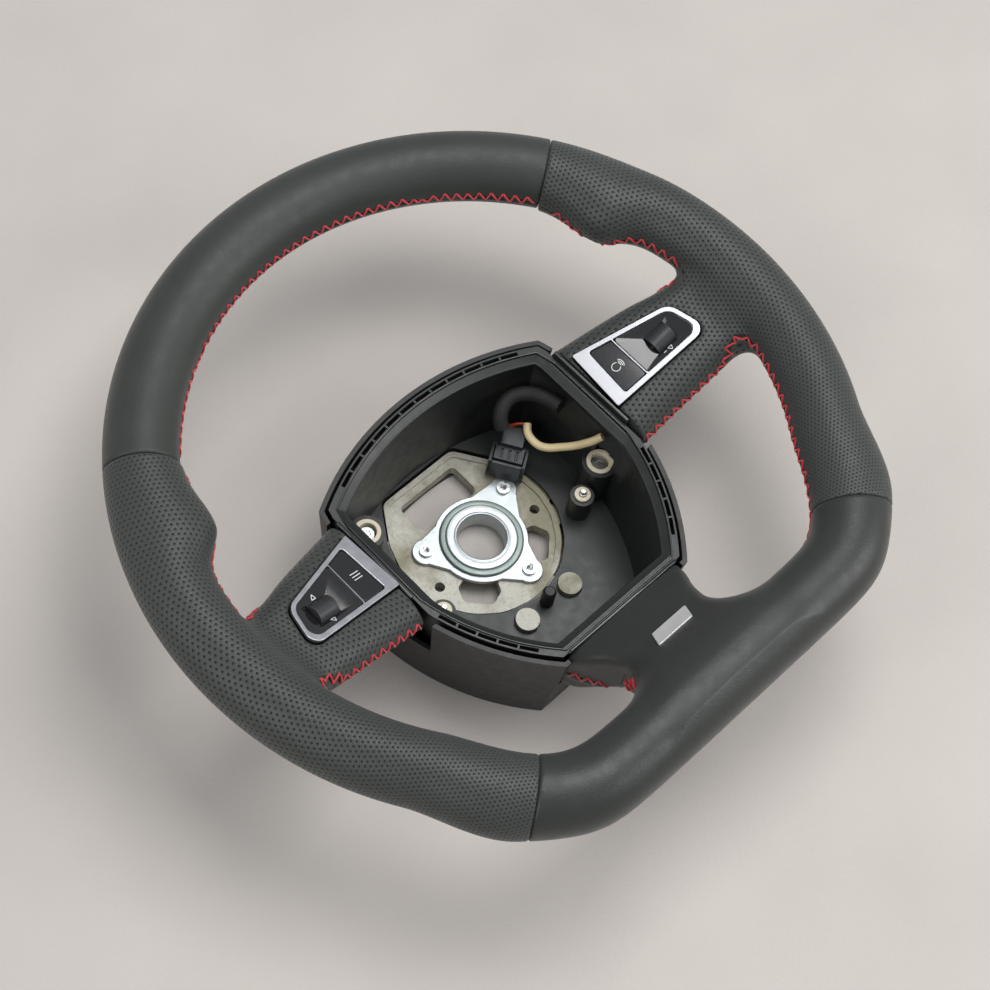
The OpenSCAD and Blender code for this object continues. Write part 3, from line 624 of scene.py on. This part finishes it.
def top_leather(x, y, z):
    """The smooth panel over the top of the rim."""
    return blend_max(rim_distance(x, y, z, 0.0), between(x, y, SEAM_HIGH, 360 - SEAM_HIGH), 1.4)


def grip_body(x, y, z):
    """The right-hand grip run together with its spoke."""
    fillet = 10.5 - 2.5 * np.tanh(y / 8)
    return blend_min(rim_distance(x, y, z, THUMB_SWELL), side_spoke_distance(x, y, z), fillet)


def grip_leather(x, y, z):
    """The right-hand perforated panel, cut off at its seams, with the bezel's pocket."""
    d = blend_max(grip_body(x, y, z), between(x, y, low_seam(np.hypot(x, y)), SEAM_HIGH), 1.4)
    d = blend_max(d, HUB_END - x, 1.2)
    px, py, pz = to_panel(x, y, z)
    pocket = np.maximum(outline_distance(px, py, POCKET), -16.0 - pz)
    return blend_max(d, -pocket, 1.2)


def low_body(x, y, z):
    """The flat of the rim run together with the bottom spoke."""
    return blend_min(rim_distance(x, y, z, 0.0), low_spoke_distance(x, y, z), 20.0)


def bottom_leather(x, y, z):
    """The black panel, cut off at its seams and at the well."""
    low = low_seam(np.hypot(x, y))
    d = blend_max(low_body(x, y, z), between(x, y, -low, low), 1.4)
    return blend_max(d, y - LOW_END, 1.2)


def any_leather(x, y, z):
    """The whole leather without its seams and pockets, right and left alike."""
    grip = grip_body(np.abs(x), y, z)
    t = np.degrees(np.abs(np.arctan2(x, -y)))
    upper = np.where(t > SEAM_HIGH, rim_distance(x, y, z, 0.0), grip)
    return np.where(t < low_seam(np.hypot(x, y)), low_body(x, y, z), upper)


def gradient(field, p):
    """The field's outward direction at each point."""
    step = 0.05
    g = np.stack([
        field(*(p + e).T) - field(*(p - e).T) for e in np.eye(3) * step
    ], 1) / (2 * step)
    return g / np.maximum(np.linalg.norm(g, axis=1)[:, None], 1e-6)


def onto(field, p, rounds=3, cap=1.0):
    """Points moved onto the field's zero surface."""
    for _ in range(rounds):
        p = p - gradient(field, p) * np.clip(field(*p.T), -cap, cap)[:, None]
    return p


def skin(field, low, high, step=1.0):
    """A quad mesh of the field's zero surface inside a box."""
    axes = [np.arange(a, b, step) for a, b in zip(low, high)]
    grid = np.meshgrid(*axes, indexing="ij")
    values = field(*grid).astype(np.float32)
    band = 3.0 * step
    volume = openvdb.FloatGrid(band)
    volume.copyFromArray(np.clip(values, -band, band))
    volume.gridClass = openvdb.GridClass.LEVEL_SET
    points, quads = volume.convertToQuads()
    points = np.array(points, float) * step + low
    points = onto(field, points, 2, 0.5)
    a, b, c = (points[quads[:, i]] for i in range(3))
    outward = gradient(field, (a + c) / 2)
    if np.einsum("ij,ij->i", np.cross(b - a, c - b), outward).mean() < 0:
        quads = quads[:, ::-1]
    return points, quads


# ---------- seams and stitching ----------


def window_edge(centre, start, end, height, count):
    """The seam round one window: rays from its centre out to the leather at the seam's height."""
    angles = np.radians(np.linspace(start, end, count))
    direction = np.stack([np.cos(angles), np.sin(angles)], 1)
    reach = np.full(count, 12.0)
    live = np.ones(count, bool)
    for _ in range(220):
        x, y = (centre + direction * reach[:, None]).T
        d = any_leather(x, y, height(x, y))
        live &= d > 0.02
        reach = np.where(live, reach + np.maximum(d * 0.7, 0.02), reach)
    x, y = (centre + direction * reach[:, None]).T
    points = np.stack([x, y, height(x, y)], 1)
    return points[(reach < 190) & ~live]


LOW_SEAM_HEIGHT = flow([-150, -138, -130, -122, -112, -104, -95],
                       [-5, -18, -32, -40, -43.5, -43, -42])
RIM_SEAM_HEIGHT = -2.0


def seam_height(x, y):
    """Height of the sewn seam: just behind mid-rim on the rim, at the widest line of the spokes."""
    ax = np.abs(x)
    on_side = ease((150 - np.hypot(x, y)) / 16) * (ax > 60)
    on_low = ease((138 - np.hypot(x, y)) / 14) * (ax < 60) * (y < 0)
    side = SIDE_FRONT(ax) - SHOULDER - 7 * ease((y + 10) / 20)
    rim = RIM_SEAM_HEIGHT - 5 * ease((-110 - y) / 20)
    return rim + on_side * (side - rim) + on_low * (LOW_SEAM_HEIGHT(y) - rim)


def even(path, step):
    """The path with points at an even spacing."""
    length = np.concatenate([[0], np.cumsum(np.linalg.norm(np.diff(path, axis=0), axis=1))])
    marks = np.arange(0, length[-1], step)
    return np.stack([np.interp(marks, length, path[:, i]) for i in range(3)], 1)


STITCH_PITCH, THREAD_RADIUS = 6.3, 0.54
STITCH_FRONT, STITCH_BACK = 4.4, 2.8
LONG_LEG, SHORT_LEG = 0.82, 0.42
SHARPEST, SHARPEST_LOW, LOW_FROM = 0.15, 0.05, -90


def thread_leg(a, b):
    """One leg of thread between two holes, lying on the leather and dipping in at its ends."""
    t = np.linspace(0, 1, 7)[:, None]
    leg = onto(any_leather, a + (b - a) * t)
    lift = 0.55 * np.sin(math.pi * t[:, 0]) ** 0.5 - 0.35 * (np.abs(t[:, 0] - 0.5) > 0.45)
    return tube(leg + gradient(any_leather, leg) * lift[:, None], THREAD_RADIUS)


def stitches(path):
    """The thread over a seam: from each front hole one short steep leg and one long slanted one.

    Stitches shrink where the seam bends, and stop where it turns sharply."""
    fine = 16
    path = onto(any_leather, even(path, STITCH_PITCH / fine))
    ahead = np.gradient(path, axis=0)
    ahead /= np.linalg.norm(ahead, axis=1)[:, None]
    across = np.cross(gradient(any_leather, path), ahead)
    across *= np.sign(across[:, 2].mean())
    bend = np.linalg.norm(np.gradient(ahead, axis=0), axis=1) * fine / STITCH_PITCH
    bend = np.convolve(bend, np.ones(2 * fine) / (2 * fine), "same")
    across /= (1 + (9 * bend) ** 2)[:, None]
    front = onto(any_leather, path + across * STITCH_FRONT)
    back = onto(any_leather, path - across * STITCH_BACK)
    parts = []
    for k in range(fine, len(path) - fine, fine):
        if bend[k] > (SHARPEST if path[k, 1] > LOW_FROM else SHARPEST_LOW):
            continue
        parts.append(thread_leg(back[k - round(SHORT_LEG * fine)], front[k]))
        parts.append(thread_leg(front[k], back[k + round(LONG_LEG * fine)]))
    return parts


def seam_paths():
    """The sewn seams round the three windows: upper, right and left."""
    top = window_edge(np.array([0.0, 92.0]), -48, 228, seam_height, 1500)
    right = window_edge(np.array([88.0, -76.0]), 108, -158, seam_height, 900)
    left = right * (-1, 1, 1)
    return [top[::-1], right, left[::-1]]


def press_seam(points, faces, seams):
    """Sinks the leather along the seams and lifts a soft lip each side."""
    marks = np.concatenate([onto(any_leather, even(s, 0.7)) for s in seams])
    tree = KDTree(len(marks))
    for i, mark in enumerate(marks):
        tree.insert(mark, i)
    tree.balance()
    gap = np.array([tree.find(p)[2] for p in points])
    push = -0.8 * np.exp(-((gap / 0.9) ** 2)) + 0.28 * np.exp(-(((gap - 2.6) / 1.2) ** 2))
    near = gap < 8
    moved = points.copy()
    moved[near] += gradient(any_leather, points[near]) * push[near, None]
    return moved


# ---------- cords ----------


def make_cord(name, route, width, node, material):
    """A free cord along its route, from its plug into the housing."""
    curve = bpy.data.curves.new(name, "CURVE")
    curve.dimensions = "3D"
    curve.bevel_depth = width / 2000
    curve.bevel_resolution = 4
    curve.use_fill_caps = True
    points = place(smooth_route(route, 4))
    spline = curve.splines.new("POLY")
    spline.points.add(len(points) - 1)
    for point, where in zip(spline.points, points):
        point.co = (*where, 1.0)
    spline.use_smooth = True
    curve.materials.append(MATERIALS[material])
    piece = bpy.data.objects.new(name, curve)
    bpy.context.scene.collection.objects.link(piece)
    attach(piece, "root")
    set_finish(piece, material)
    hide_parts(node)


def smooth_route(route, steps):
    """The route with points put between its own, on one smooth curve."""
    route = np.array(route, float)
    padded = np.concatenate([2 * route[:1] - route[1:2], route, 2 * route[-1:] - route[-2:-1]])
    made = []
    for a, b, c, d in zip(padded[:-3], padded[1:-2], padded[2:-1], padded[3:]):
        for t in np.arange(steps) / steps:
            made.append(0.5 * (2 * b + (c - a) * t + (2 * a - 5 * b + 4 * c - d) * t ** 2
                               + (3 * b - a - 3 * c + d) * t ** 3))
    return np.array(made + [route[-1]])


# ---------- switches ----------


def hand(points, side):
    """Points of a panel's frame in the rim's frame, on the right (side 1) or the left (-1)."""
    return from_panel(points) * (side, 1, 1)


def edge_height(line, x):
    """Height at x of a line between two points."""
    (x0, y0), (x1, y1) = line
    return y0 + (y1 - y0) * (x - x0) / (x1 - x0)


def half_opening(x0, x1, radii, gap):
    """The bezel's opening between two lines across it, with rounded corners."""
    low, high = (OPENING[0], OPENING[1]), (OPENING[3], OPENING[2])
    corners = [
        (x0, edge_height(low, x0)), (x1, edge_height(low, x1)),
        (x1, edge_height(high, x1)), (x0, edge_height(high, x0)),
    ]
    if x0 == OPENING[0][0]:
        corners[3] = OPENING[3]
    if x1 == OPENING[1][0]:
        corners[2] = OPENING[2]
    return rounded(inset(corners, gap), radii)


def stack(loops):
    """A closed solid from loops of equally many points, one above the other."""
    return np.concatenate(loops), capped_faces(len(loops[0]), len(loops))


def slab(outline, low, high, edge, rings=()):
    """A plate with that outline, softly rounded upper edges and rings of points across its top."""
    middle, count = outline.mean(0), len(outline)

    def loop(shrink, z):
        reach = np.linalg.norm(outline - middle, axis=1)[:, None]
        flat = outline - (outline - middle) / reach * shrink
        return np.column_stack([flat, np.full(count, z)])

    return stack([
        loop(0, low), loop(0, high - edge), loop(edge * 0.12, high - edge * 0.5),
        loop(edge * 0.5, high - edge * 0.12), loop(edge, high),
        *(np.column_stack([middle + (outline - middle) * part, np.full(count, high)])
          for part in rings),
    ])


def weighted(piece):
    """Keeps flat faces flat where smooth shading would bulge them."""
    piece.modifiers.new("shade", "WEIGHTED_NORMAL").weight = 90


def facing(side, faces):
    """Faces of a mirrored piece run the other way."""
    return faces if side > 0 else [tuple(f)[::-1] for f in faces]


DISH_RIM, DISH_LOW = -0.42, -2.3
WINDOW_HALF = (ROLLER_LENGTH / 2 + 0.6, 5.6)
SILVER_LINE = 0.55
DISH = []


def dished_panel(side):
    """The glossy panel: four slopes, creased where they meet, down to the roller's window."""
    outline = half_opening(SPLIT_X + SILVER_LINE + 0.1, OPENING[1][0], [1.6, 4.6, 7.2, 1.6], 0.15)
    outline = np.roll(outline, -3, axis=0)
    sides, steps = 4, len(outline) // 4
    hx, hy = WINDOW_HALF
    window = np.array([(-hx, -hy), (hx, -hy), (hx, hy), (-hx, hy)]) + ROLLER_AT
    parts = []
    for k in range(sides):
        rim = np.array([outline[(steps * k + i) % len(outline)] for i in range(steps + 1)])
        run = np.concatenate([[0], np.cumsum(np.linalg.norm(np.diff(rim, axis=0), axis=1))])
        t = (run / run[-1])[:, None]
        sill = window[k] * (1 - t) + window[(k + 1) % sides] * t
        rows = [(rim, DISH_RIM - 1.9), (rim, DISH_RIM)]
        for u in (0.05, 0.35, 0.65, 0.97):
            drop = u ** 1.25
            rows.append((rim * (1 - u) + sill * u, DISH_RIM + (DISH_LOW - DISH_RIM) * drop))
        rows += [(sill, DISH_LOW), (sill, DISH_LOW - 1.0)]
        wide = steps + 1
        points = np.concatenate([np.column_stack([flat, np.full(wide, z)]) for flat, z in rows])
        faces = [
            (r * wide + i, r * wide + i + 1, (r + 1) * wide + i + 1, (r + 1) * wide + i)
            for r in range(len(rows) - 1) for i in range(steps)
        ]
        parts.append((points, faces))
    points, faces = gather(parts)
    DISH.append(BVHTree.FromPolygons([Vector(p) for p in points], [tuple(f) for f in faces]))
    name = "right_panel" if side > 0 else "left_panel"
    make_piece(name + "_dished", hand(points, side), facing(side, faces), "gloss_black",
               replaces=[name])


def button_face(side):
    """The push button, rounded at its corners, riding on the button's body."""
    outline = half_opening(OPENING[0][0], SPLIT_X, [1.6, 1.5, 1.5, 1.6], 0.35)
    points, faces = slab(outline, -2.8, -0.28, 0.5)
    bow = 0.35 * ((points[:, 1] - BUTTON_AT[1]) / 13) ** 2
    points[:, 2] += np.where(points[:, 2] > -1, 0.02 - bow, 0)
    name = "right_voice_button" if side > 0 else "left_menu_button"
    body = "right_button" if side > 0 else "left_button"
    weighted(make_piece(name + "_face", hand(points, side), facing(side, faces), "gloss_black",
                        body=body, replaces=[name]))


def silver_line(side):
    """The thin bright bar between the button and the panel."""
    x = SPLIT_X + 0.05 + SILVER_LINE / 2
    low = edge_height((OPENING[0], OPENING[1]), x) - 0.3
    high = edge_height((OPENING[3], OPENING[2]), x) + 0.3
    w = SILVER_LINE / 2
    flare = 1.1
    outline = np.array([
        (x - w, low), (x + flare, low), (x + w, low + flare),
        (x + w, high - flare), (x + flare, high), (x - w, high),
    ])
    points, faces = slab(outline, -1.8, -0.12, 0.1)
    name = "right_split_bar" if side > 0 else "left_split_bar"
    weighted(make_piece(name, hand(points, side), facing(side, faces), "silver_trim"))


def ribbon(line, width, height, closed=False):
    """A thin printed line of that width along points, drawn on a plane at that height."""
    line = np.array(line, float)
    if closed:
        ahead = np.roll(line, -1, axis=0) - np.roll(line, 1, axis=0)
    else:
        ahead = np.gradient(line, axis=0)
    ahead /= np.linalg.norm(ahead, axis=1)[:, None]
    across = np.stack([-ahead[:, 1], ahead[:, 0]], 1) * width / 2
    count = len(line)
    points = np.concatenate([
        np.column_stack([line + across * s, np.full(count, z)])
        for s, z in ((1, height), (-1, height), (1, height - 0.08), (-1, height - 0.08))
    ])
    faces = []
    for i in range(count if closed else count - 1):
        j = (i + 1) % count
        faces += [(i, count + i, count + j, j), (i, j, 2 * count + j, 2 * count + i),
                  (count + i, 3 * count + i, 3 * count + j, count + j)]
    return points, faces


def triangle_mark(middle, point_up, height, size=1.55):
    """The outline of a small triangle."""
    angles = np.radians([90, 210, 330]) if point_up else np.radians([270, 30, 150])
    corners = np.stack([np.cos(angles), np.sin(angles)], 1) * size
    line = []
    for a, b in zip(corners, np.roll(corners, -1, axis=0)):
        line += [a + (b - a) * t for t in (0.06, 0.5, 0.94)]
    return ribbon(np.array(line) + middle, 0.42, height, closed=True)


def arc_mark(middle, radius, start, end, height, width=0.42):
    """An arc between two angles in degrees."""
    angles = np.radians(np.linspace(start, end, 14))
    return ribbon(np.stack([np.cos(angles), np.sin(angles)], 1) * radius + middle, width, height)


def bar_mark(middle, half, height, width=0.45):
    """A short bar."""
    return ribbon(np.array([(-half, 0), (0, 0), (half, 0)]) + middle, width, height)


def print_marks(name, side, body, parts):
    """Printed marks; those on the dished panel follow its slopes."""
    points, faces = gather(parts)
    for point in points if body == "root" else ():
        ground = DISH[0].ray_cast(Vector((point[0], point[1], 5.0)), Vector((0.0, 0.0, -1.0)))[0]
        point[2] += ground.z + 0.1
    piece = make_piece(name, hand(points, side), facing(side, faces), "print_white", body=body,
                       slot="silver_trim")
    piece.data.polygons.foreach_set("use_smooth", [False] * len(piece.data.polygons))


def make_marks():
    """Plain marks in place of the printed words and signs."""
    x, y = ROLLER_AT
    on_slope, on_button = 0.0, -0.2
    print_marks("left_panel_marks", -1, "root", [
        triangle_mark((x, y + 7.4), True, on_slope),
        triangle_mark((x, y - 7.3), False, on_slope),
    ])
    print_marks("right_panel_marks", 1, "root", [
        triangle_mark((x - 0.3, y - 7.6), False, on_slope),
        bar_mark((x - 3.9, y - 7.4), 0.9, on_slope),
    ])
    bx, by = BUTTON_AT
    print_marks("left_button_marks", -1, "left_button", [
        bar_mark((bx, by + step), 2.7, on_button) for step in (-1.7, 0, 1.7)
    ])
    print_marks("right_button_marks", 1, "right_button", [
        arc_mark((bx - 1, by), 2.3, 40, 320, on_button),
        *(arc_mark((bx + 0.4, by), radius, -50, 50, on_button) for radius in (1.3, 2.2, 3.1)),
    ])


# ---------- hub, well and badge details ----------


def lathe(profile, middle, count=96):
    """A ring turned from a closed outline of (radius, height) points about an upright axis."""
    angle = np.arange(count) * 2 * math.pi / count
    turn = np.stack([np.cos(angle), np.sin(angle)], 1)
    points = np.concatenate([
        np.column_stack([turn * r + middle, np.full(count, z)]) for r, z in profile
    ])
    return points, loop_faces(count, len(profile), closed=True)


def make_hub_rings():
    """The flange's turned collar: a groove in a darker copy of the flange's steel, painted shade,
    and a bright raised ring round the bore.

    Heights are over the collar's top face."""
    axis, top = (0.0, -RIM_UP), COLLAR_TOP - RIM_HEIGHT
    groove = [(19.05, -0.9), (19.05, -0.7), (19.6, -0.62), (21.2, -0.62),
              (21.9, -0.9), (22.2, -1.5), (22.2, -2.4), (21.9, -2.4)]
    ring = [(13.1, -0.6), (13.1, 0.1), (13.5, 0.45), (14.1, 0.45), (14.5, 0.15),
            (15.0, 0.15), (15.4, 0.35), (18.1, 0.35), (18.8, 0.05), (19.02, -0.6)]
    # the groove's darker steel is painted shade in the recess
    for name, profile, material in (("flange_groove", groove, "satin_ring"),
                                    ("flange_ring", ring, "bright_steel")):
        points, faces = lathe([(r, top + z) for r, z in profile], axis)
        weighted(make_piece(name, points, faces, material, slot="bright_steel"))


WELL_MIDDLE = np.array([0.0, -20.0])
WELL_ARCS = [((0.0, -91.9), 152.6), ((-55.6, -1.6), 138.3), ((55.6, -1.6), 138.3)]


def well_loop(gap, side, low, z, count=720):
    """A loop round the well at height z: its arcs moved in by gap, straight at side and low."""
    angle = np.arange(count) * 2 * math.pi / count
    ahead = np.stack([np.cos(angle), np.sin(angle)], 1)
    reach = np.full(count, 1e9)
    for centre, radius in WELL_ARCS:
        off = WELL_MIDDLE - centre
        along = ahead @ off
        reach = np.minimum(reach, -along + np.sqrt(along ** 2 - off @ off + (radius - gap) ** 2))
    reach = np.minimum(reach, side / np.maximum(np.abs(ahead[:, 0]), 1e-9))
    down = np.maximum(-ahead[:, 1], 1e-9)
    reach = np.minimum(reach, (WELL_MIDDLE[1] - low) / down)
    return np.column_stack([WELL_MIDDLE + ahead * reach[:, None], np.full(count, z)])


def well_band(name, rows, material):
    """A band round the well from rows of (gap, side, low, z), closed into a ring."""
    loops = [well_loop(*row) for row in rows]
    faces = loop_faces(len(loops[0]), len(loops), closed=True)
    weighted(make_piece(name, np.concatenate(loops), faces, material))


def make_well_edge():
    """What runs round the well's mouth: a sloping band, a bead on it and a straight bead below."""
    well_band("well_slope", [
        (8.1, 71.6, -92.2, -27.6), (8.3, 71.2, -91.8, -27.2), (9.0, 70.4, -91, -27.5),
        (11.6, 67.4, -88.2, -29.4), (12.2, 66.8, -87.6, -29.3), (12.7, 66.3, -87.1, -29.8),
        (12.6, 66.6, -87.4, -31.2), (8.6, 71.8, -92.4, -37.0),
    ], "well_plastic")
    well_band("well_bead", [
        (7.7, 72.6, -93.4, -26.7), (7.8, 72.4, -93.2, -25.9), (8.2, 72.0, -92.8, -25.6),
        (8.6, 71.6, -92.4, -25.9), (8.7, 71.5, -92.3, -27.4),
    ], "gloss_trim")
    points, faces = tube([(x, -95.0, -25.6) for x in (-38, -36, 0, 36, 38)], 1.0, sides=10)
    make_piece("low_edge_bead", points, faces, "gloss_trim")


def make_badge():
    """A blank bright plate on the bottom spoke, with no mark, colour field or name on it."""
    outline = rounded(BADGE_OUTLINE, [0.7] * 4)
    points, faces = slab(outline, -0.5, 0.9, 0.3, (0.8, 0.6, 0.4, 0.2))
    flat = points[:, :2] * (1, math.cos(BADGE_TILT)) + BADGE_AT
    ground = onto(bottom_leather, np.column_stack([flat, LOW_FRONT(flat[:, 1])]), 6)
    up = gradient(bottom_leather, ground)
    weighted(make_piece("badge_plate", ground + up * points[:, 2:], faces, "badge_silver",
                        slot="silver_trim", replaces=["badge"]))


def make_plug_wires():
    """Short red wires between the plug and the lead's sleeve."""
    c, s = math.cos(PLUG_TURN), math.sin(PLUG_TURN)
    parts = []
    for u in (-4.4, -3.0):
        start = np.array([PLUG_AT[0] + c * u - s * 15, PLUG_AT[1] + s * u + c * 15, -68.6])
        end = np.array(LEAD_ROUTE[0]) + (0.2 * u, 0.5, 0.3)
        middle = (start + end) / 2 + (0, 0, 1.6)
        parts.append(tube(smooth_route([start, middle, end], 6), 0.75, sides=8))
    points, faces = gather(parts)
    make_piece("plug_wires", points, faces, "red_plastic", replaces=["connector_latch"])


# ---------- softened CAD edges ----------


BEVELS = {
    "armature": 0.7, "hub_flange": 0.5, "flange_screws": 0.5, "airbag_well": 0.35, "rear_cover": 0.9,
    "cover_screws": 0.2, "left_edge_trim": 0.3, "right_edge_trim": 0.3, "airbag_bushes": 0.5,
    "airbag_bolts": 0.3, "contact_pins": 0.2, "pin_insulators": 0.25, "rubber_post": 0.4,
    "connector_holder": 0.35, "connector_plug": 0.35, "left_bezel": 0.4, "right_bezel": 0.4,
    "left_roller": 0.12, "right_roller": 0.12,
}


def soften(node, width):
    """Rounds a CAD node's edges for the eye, by modifiers only."""
    node.data.polygons.foreach_set("use_smooth", [True] * len(node.data.polygons))
    node.modifiers.new("weld", "WELD").merge_threshold = 0.00002
    flat = node.modifiers.new("flat", "DECIMATE")
    flat.decimate_type = "DISSOLVE"
    flat.angle_limit = math.radians(1.0)
    bevel = node.modifiers.new("bevel", "BEVEL")
    bevel.width = width / 1000
    bevel.segments = 3
    bevel.limit_method = "ANGLE"
    bevel.angle_limit = math.radians(28)
    node.modifiers.new("shade", "WEIGHTED_NORMAL").weight = 90


# ---------- build ----------

SLOTS = {m["slot"] for m in frame["record"]["materials"]}
MATERIALS = make_materials()
make_camera()
make_cord("airbag_lead_cord", LEAD_ROUTE, LEAD_WIDTH, "airbag_lead", "lead_cream")
make_cord("switch_harness_cord", HARNESS_ROUTE, HARNESS_WIDTH, "switch_harness", "harness_sleeve")


def leather_panel(name, field, low, high, material, replaces):
    """One leather panel from its field, with its seams pressed in."""
    points, faces = skin(field, np.array(low, float), np.array(high, float))
    points = press_seam(points, faces, SEAMS)
    return make_piece(name, points, faces, material, replaces=replaces)


def unwrap_grip(piece):
    """Lays the grip's leather out flat, slit along its sewn seam, so the holes keep their pitch."""
    mesh = piece.data
    count = len(mesh.polygons)
    centre = np.empty(count * 3)
    mesh.polygons.foreach_get("center", centre)
    x, y, z = (centre.reshape(-1, 3) * 1000 - (0, RIM_UP, RIM_HEIGHT)).T
    r = np.hypot(x, y)
    level = seam_height(x, y)
    label = (z > level).astype(int)
    px, py, pz = to_panel(x, y, z)
    label[(outline_distance(px, py, POCKET) < 0.5) & (pz < -1.5) & (pz > -17)] = 2
    label[x < HUB_END + 0.4] = 3
    label[between(x, y, low_seam(r), SEAM_HIGH) > -0.4] = 4
    b = np.degrees(np.abs(np.arctan2(x, -y)))
    outside = r > (outer_radius(b) + inner_radius(b, 0.0)) / 2
    sides = {}
    for polygon in mesh.polygons:
        for key in polygon.edge_keys:
            sides.setdefault(key, []).append(polygon.index)
    cuts = []
    for edge in mesh.edges:
        pair = sides.get(tuple(sorted(edge.vertices)), [])
        cut = len(pair) == 2 and label[pair[0]] != label[pair[1]]
        if cut and {label[pair[0]], label[pair[1]]} == {0, 1} and outside[pair[0]]:
            cut = False
        cuts.append(cut)
    mesh.edges.foreach_set("use_seam", cuts)
    bpy.context.view_layer.objects.active = piece
    piece.select_set(True)
    bpy.ops.object.mode_set(mode="EDIT")
    bpy.ops.mesh.select_all(action="SELECT")
    bpy.ops.uv.unwrap(method="CONFORMAL", margin=0.001)
    bpy.ops.object.mode_set(mode="OBJECT")
    piece.select_set(False)
    scale_map(mesh, label)


def scale_map(mesh, label):
    """Turns and scales the flat map to millimetres, with its first axis along the spoke."""
    layer = mesh.uv_layers.active.data
    flat = np.empty(len(layer) * 2)
    layer.foreach_get("uv", flat)
    flat = flat.reshape(-1, 2)
    owner = np.empty(len(mesh.loops), int)
    mesh.loops.foreach_get("vertex_index", owner)
    verts = np.empty(len(mesh.vertices) * 3)
    mesh.vertices.foreach_get("co", verts)
    verts = verts.reshape(-1, 3) * 1000
    starts = np.empty(len(mesh.polygons), int)
    mesh.polygons.foreach_get("loop_start", starts)
    front = label == 1
    first, second = starts[front], starts[front] + 1
    apart = np.linalg.norm(verts[owner[first]] - verts[owner[second]], axis=1)
    scale = np.median(apart / np.maximum(np.linalg.norm(flat[first] - flat[second], axis=1), 1e-9))
    spoke = first[(verts[owner[first]][:, 0] < 140)]
    a = verts[owner[spoke]][:, :2]
    b = flat[spoke]
    a, b = a - a.mean(0), b - b.mean(0)
    turn = math.atan2((b[:, 0] * a[:, 1] - b[:, 1] * a[:, 0]).sum(), (b * a).sum())
    c, s = math.cos(turn) * scale, math.sin(turn) * scale
    flat = np.stack([flat[:, 0] * c - flat[:, 1] * s, flat[:, 0] * s + flat[:, 1] * c], 1)
    layer.foreach_set("uv", flat.ravel())


def mirror_piece(piece, name, replaces):
    """The left-hand twin of a right-hand piece."""
    mesh = piece.data.copy()
    mesh.transform(Matrix.Scale(-1, 4, (1, 0, 0)))
    mesh.flip_normals()
    twin = bpy.data.objects.new(name, mesh)
    bpy.context.scene.collection.objects.link(twin)
    return finish_piece(twin, "root", piece["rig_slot"], replaces)


make_stage()
SEAMS = seam_paths()
leather_panel("top_leather_panel", top_leather, (-165, 82, -20), (165, 190, 20),
              "smooth_leather", ["leather_top"])
right_grip = leather_panel("right_grip_and_spoke", grip_leather, (72, -160, -64), (190, 124, 20),
                           "perforated_leather", ["leather_right_grip", "right_spoke_leather"])
unwrap_grip(right_grip)
mirror_piece(right_grip, "left_grip_and_spoke", ["leather_left_grip", "left_spoke_leather"])
leather_panel("bottom_leather_panel", bottom_leather, (-132, -177, -64), (132, -93, 20),
              "black_leather", ["leather_bottom", "bottom_spoke_leather"])
stitch_points, stitch_faces = gather([part for seam in SEAMS for part in stitches(seam)])
make_piece("rim_stitching", stitch_points, stitch_faces, "thread", slot="perforated_leather")

for side in (1, -1):
    dished_panel(side)
    button_face(side)
    silver_line(side)
make_marks()
make_hub_rings()
make_well_edge()
make_badge()
make_plug_wires()

slot_of = {s["node"]: s["material_slot"] for s in frame["record"]["subparts"]}
for name, node in NODES.items():
    if name in BEVELS:
        soften(node, BEVELS[name])
    node.data.materials.clear()
    node.data.materials.append(MATERIALS[slot_of[name]])
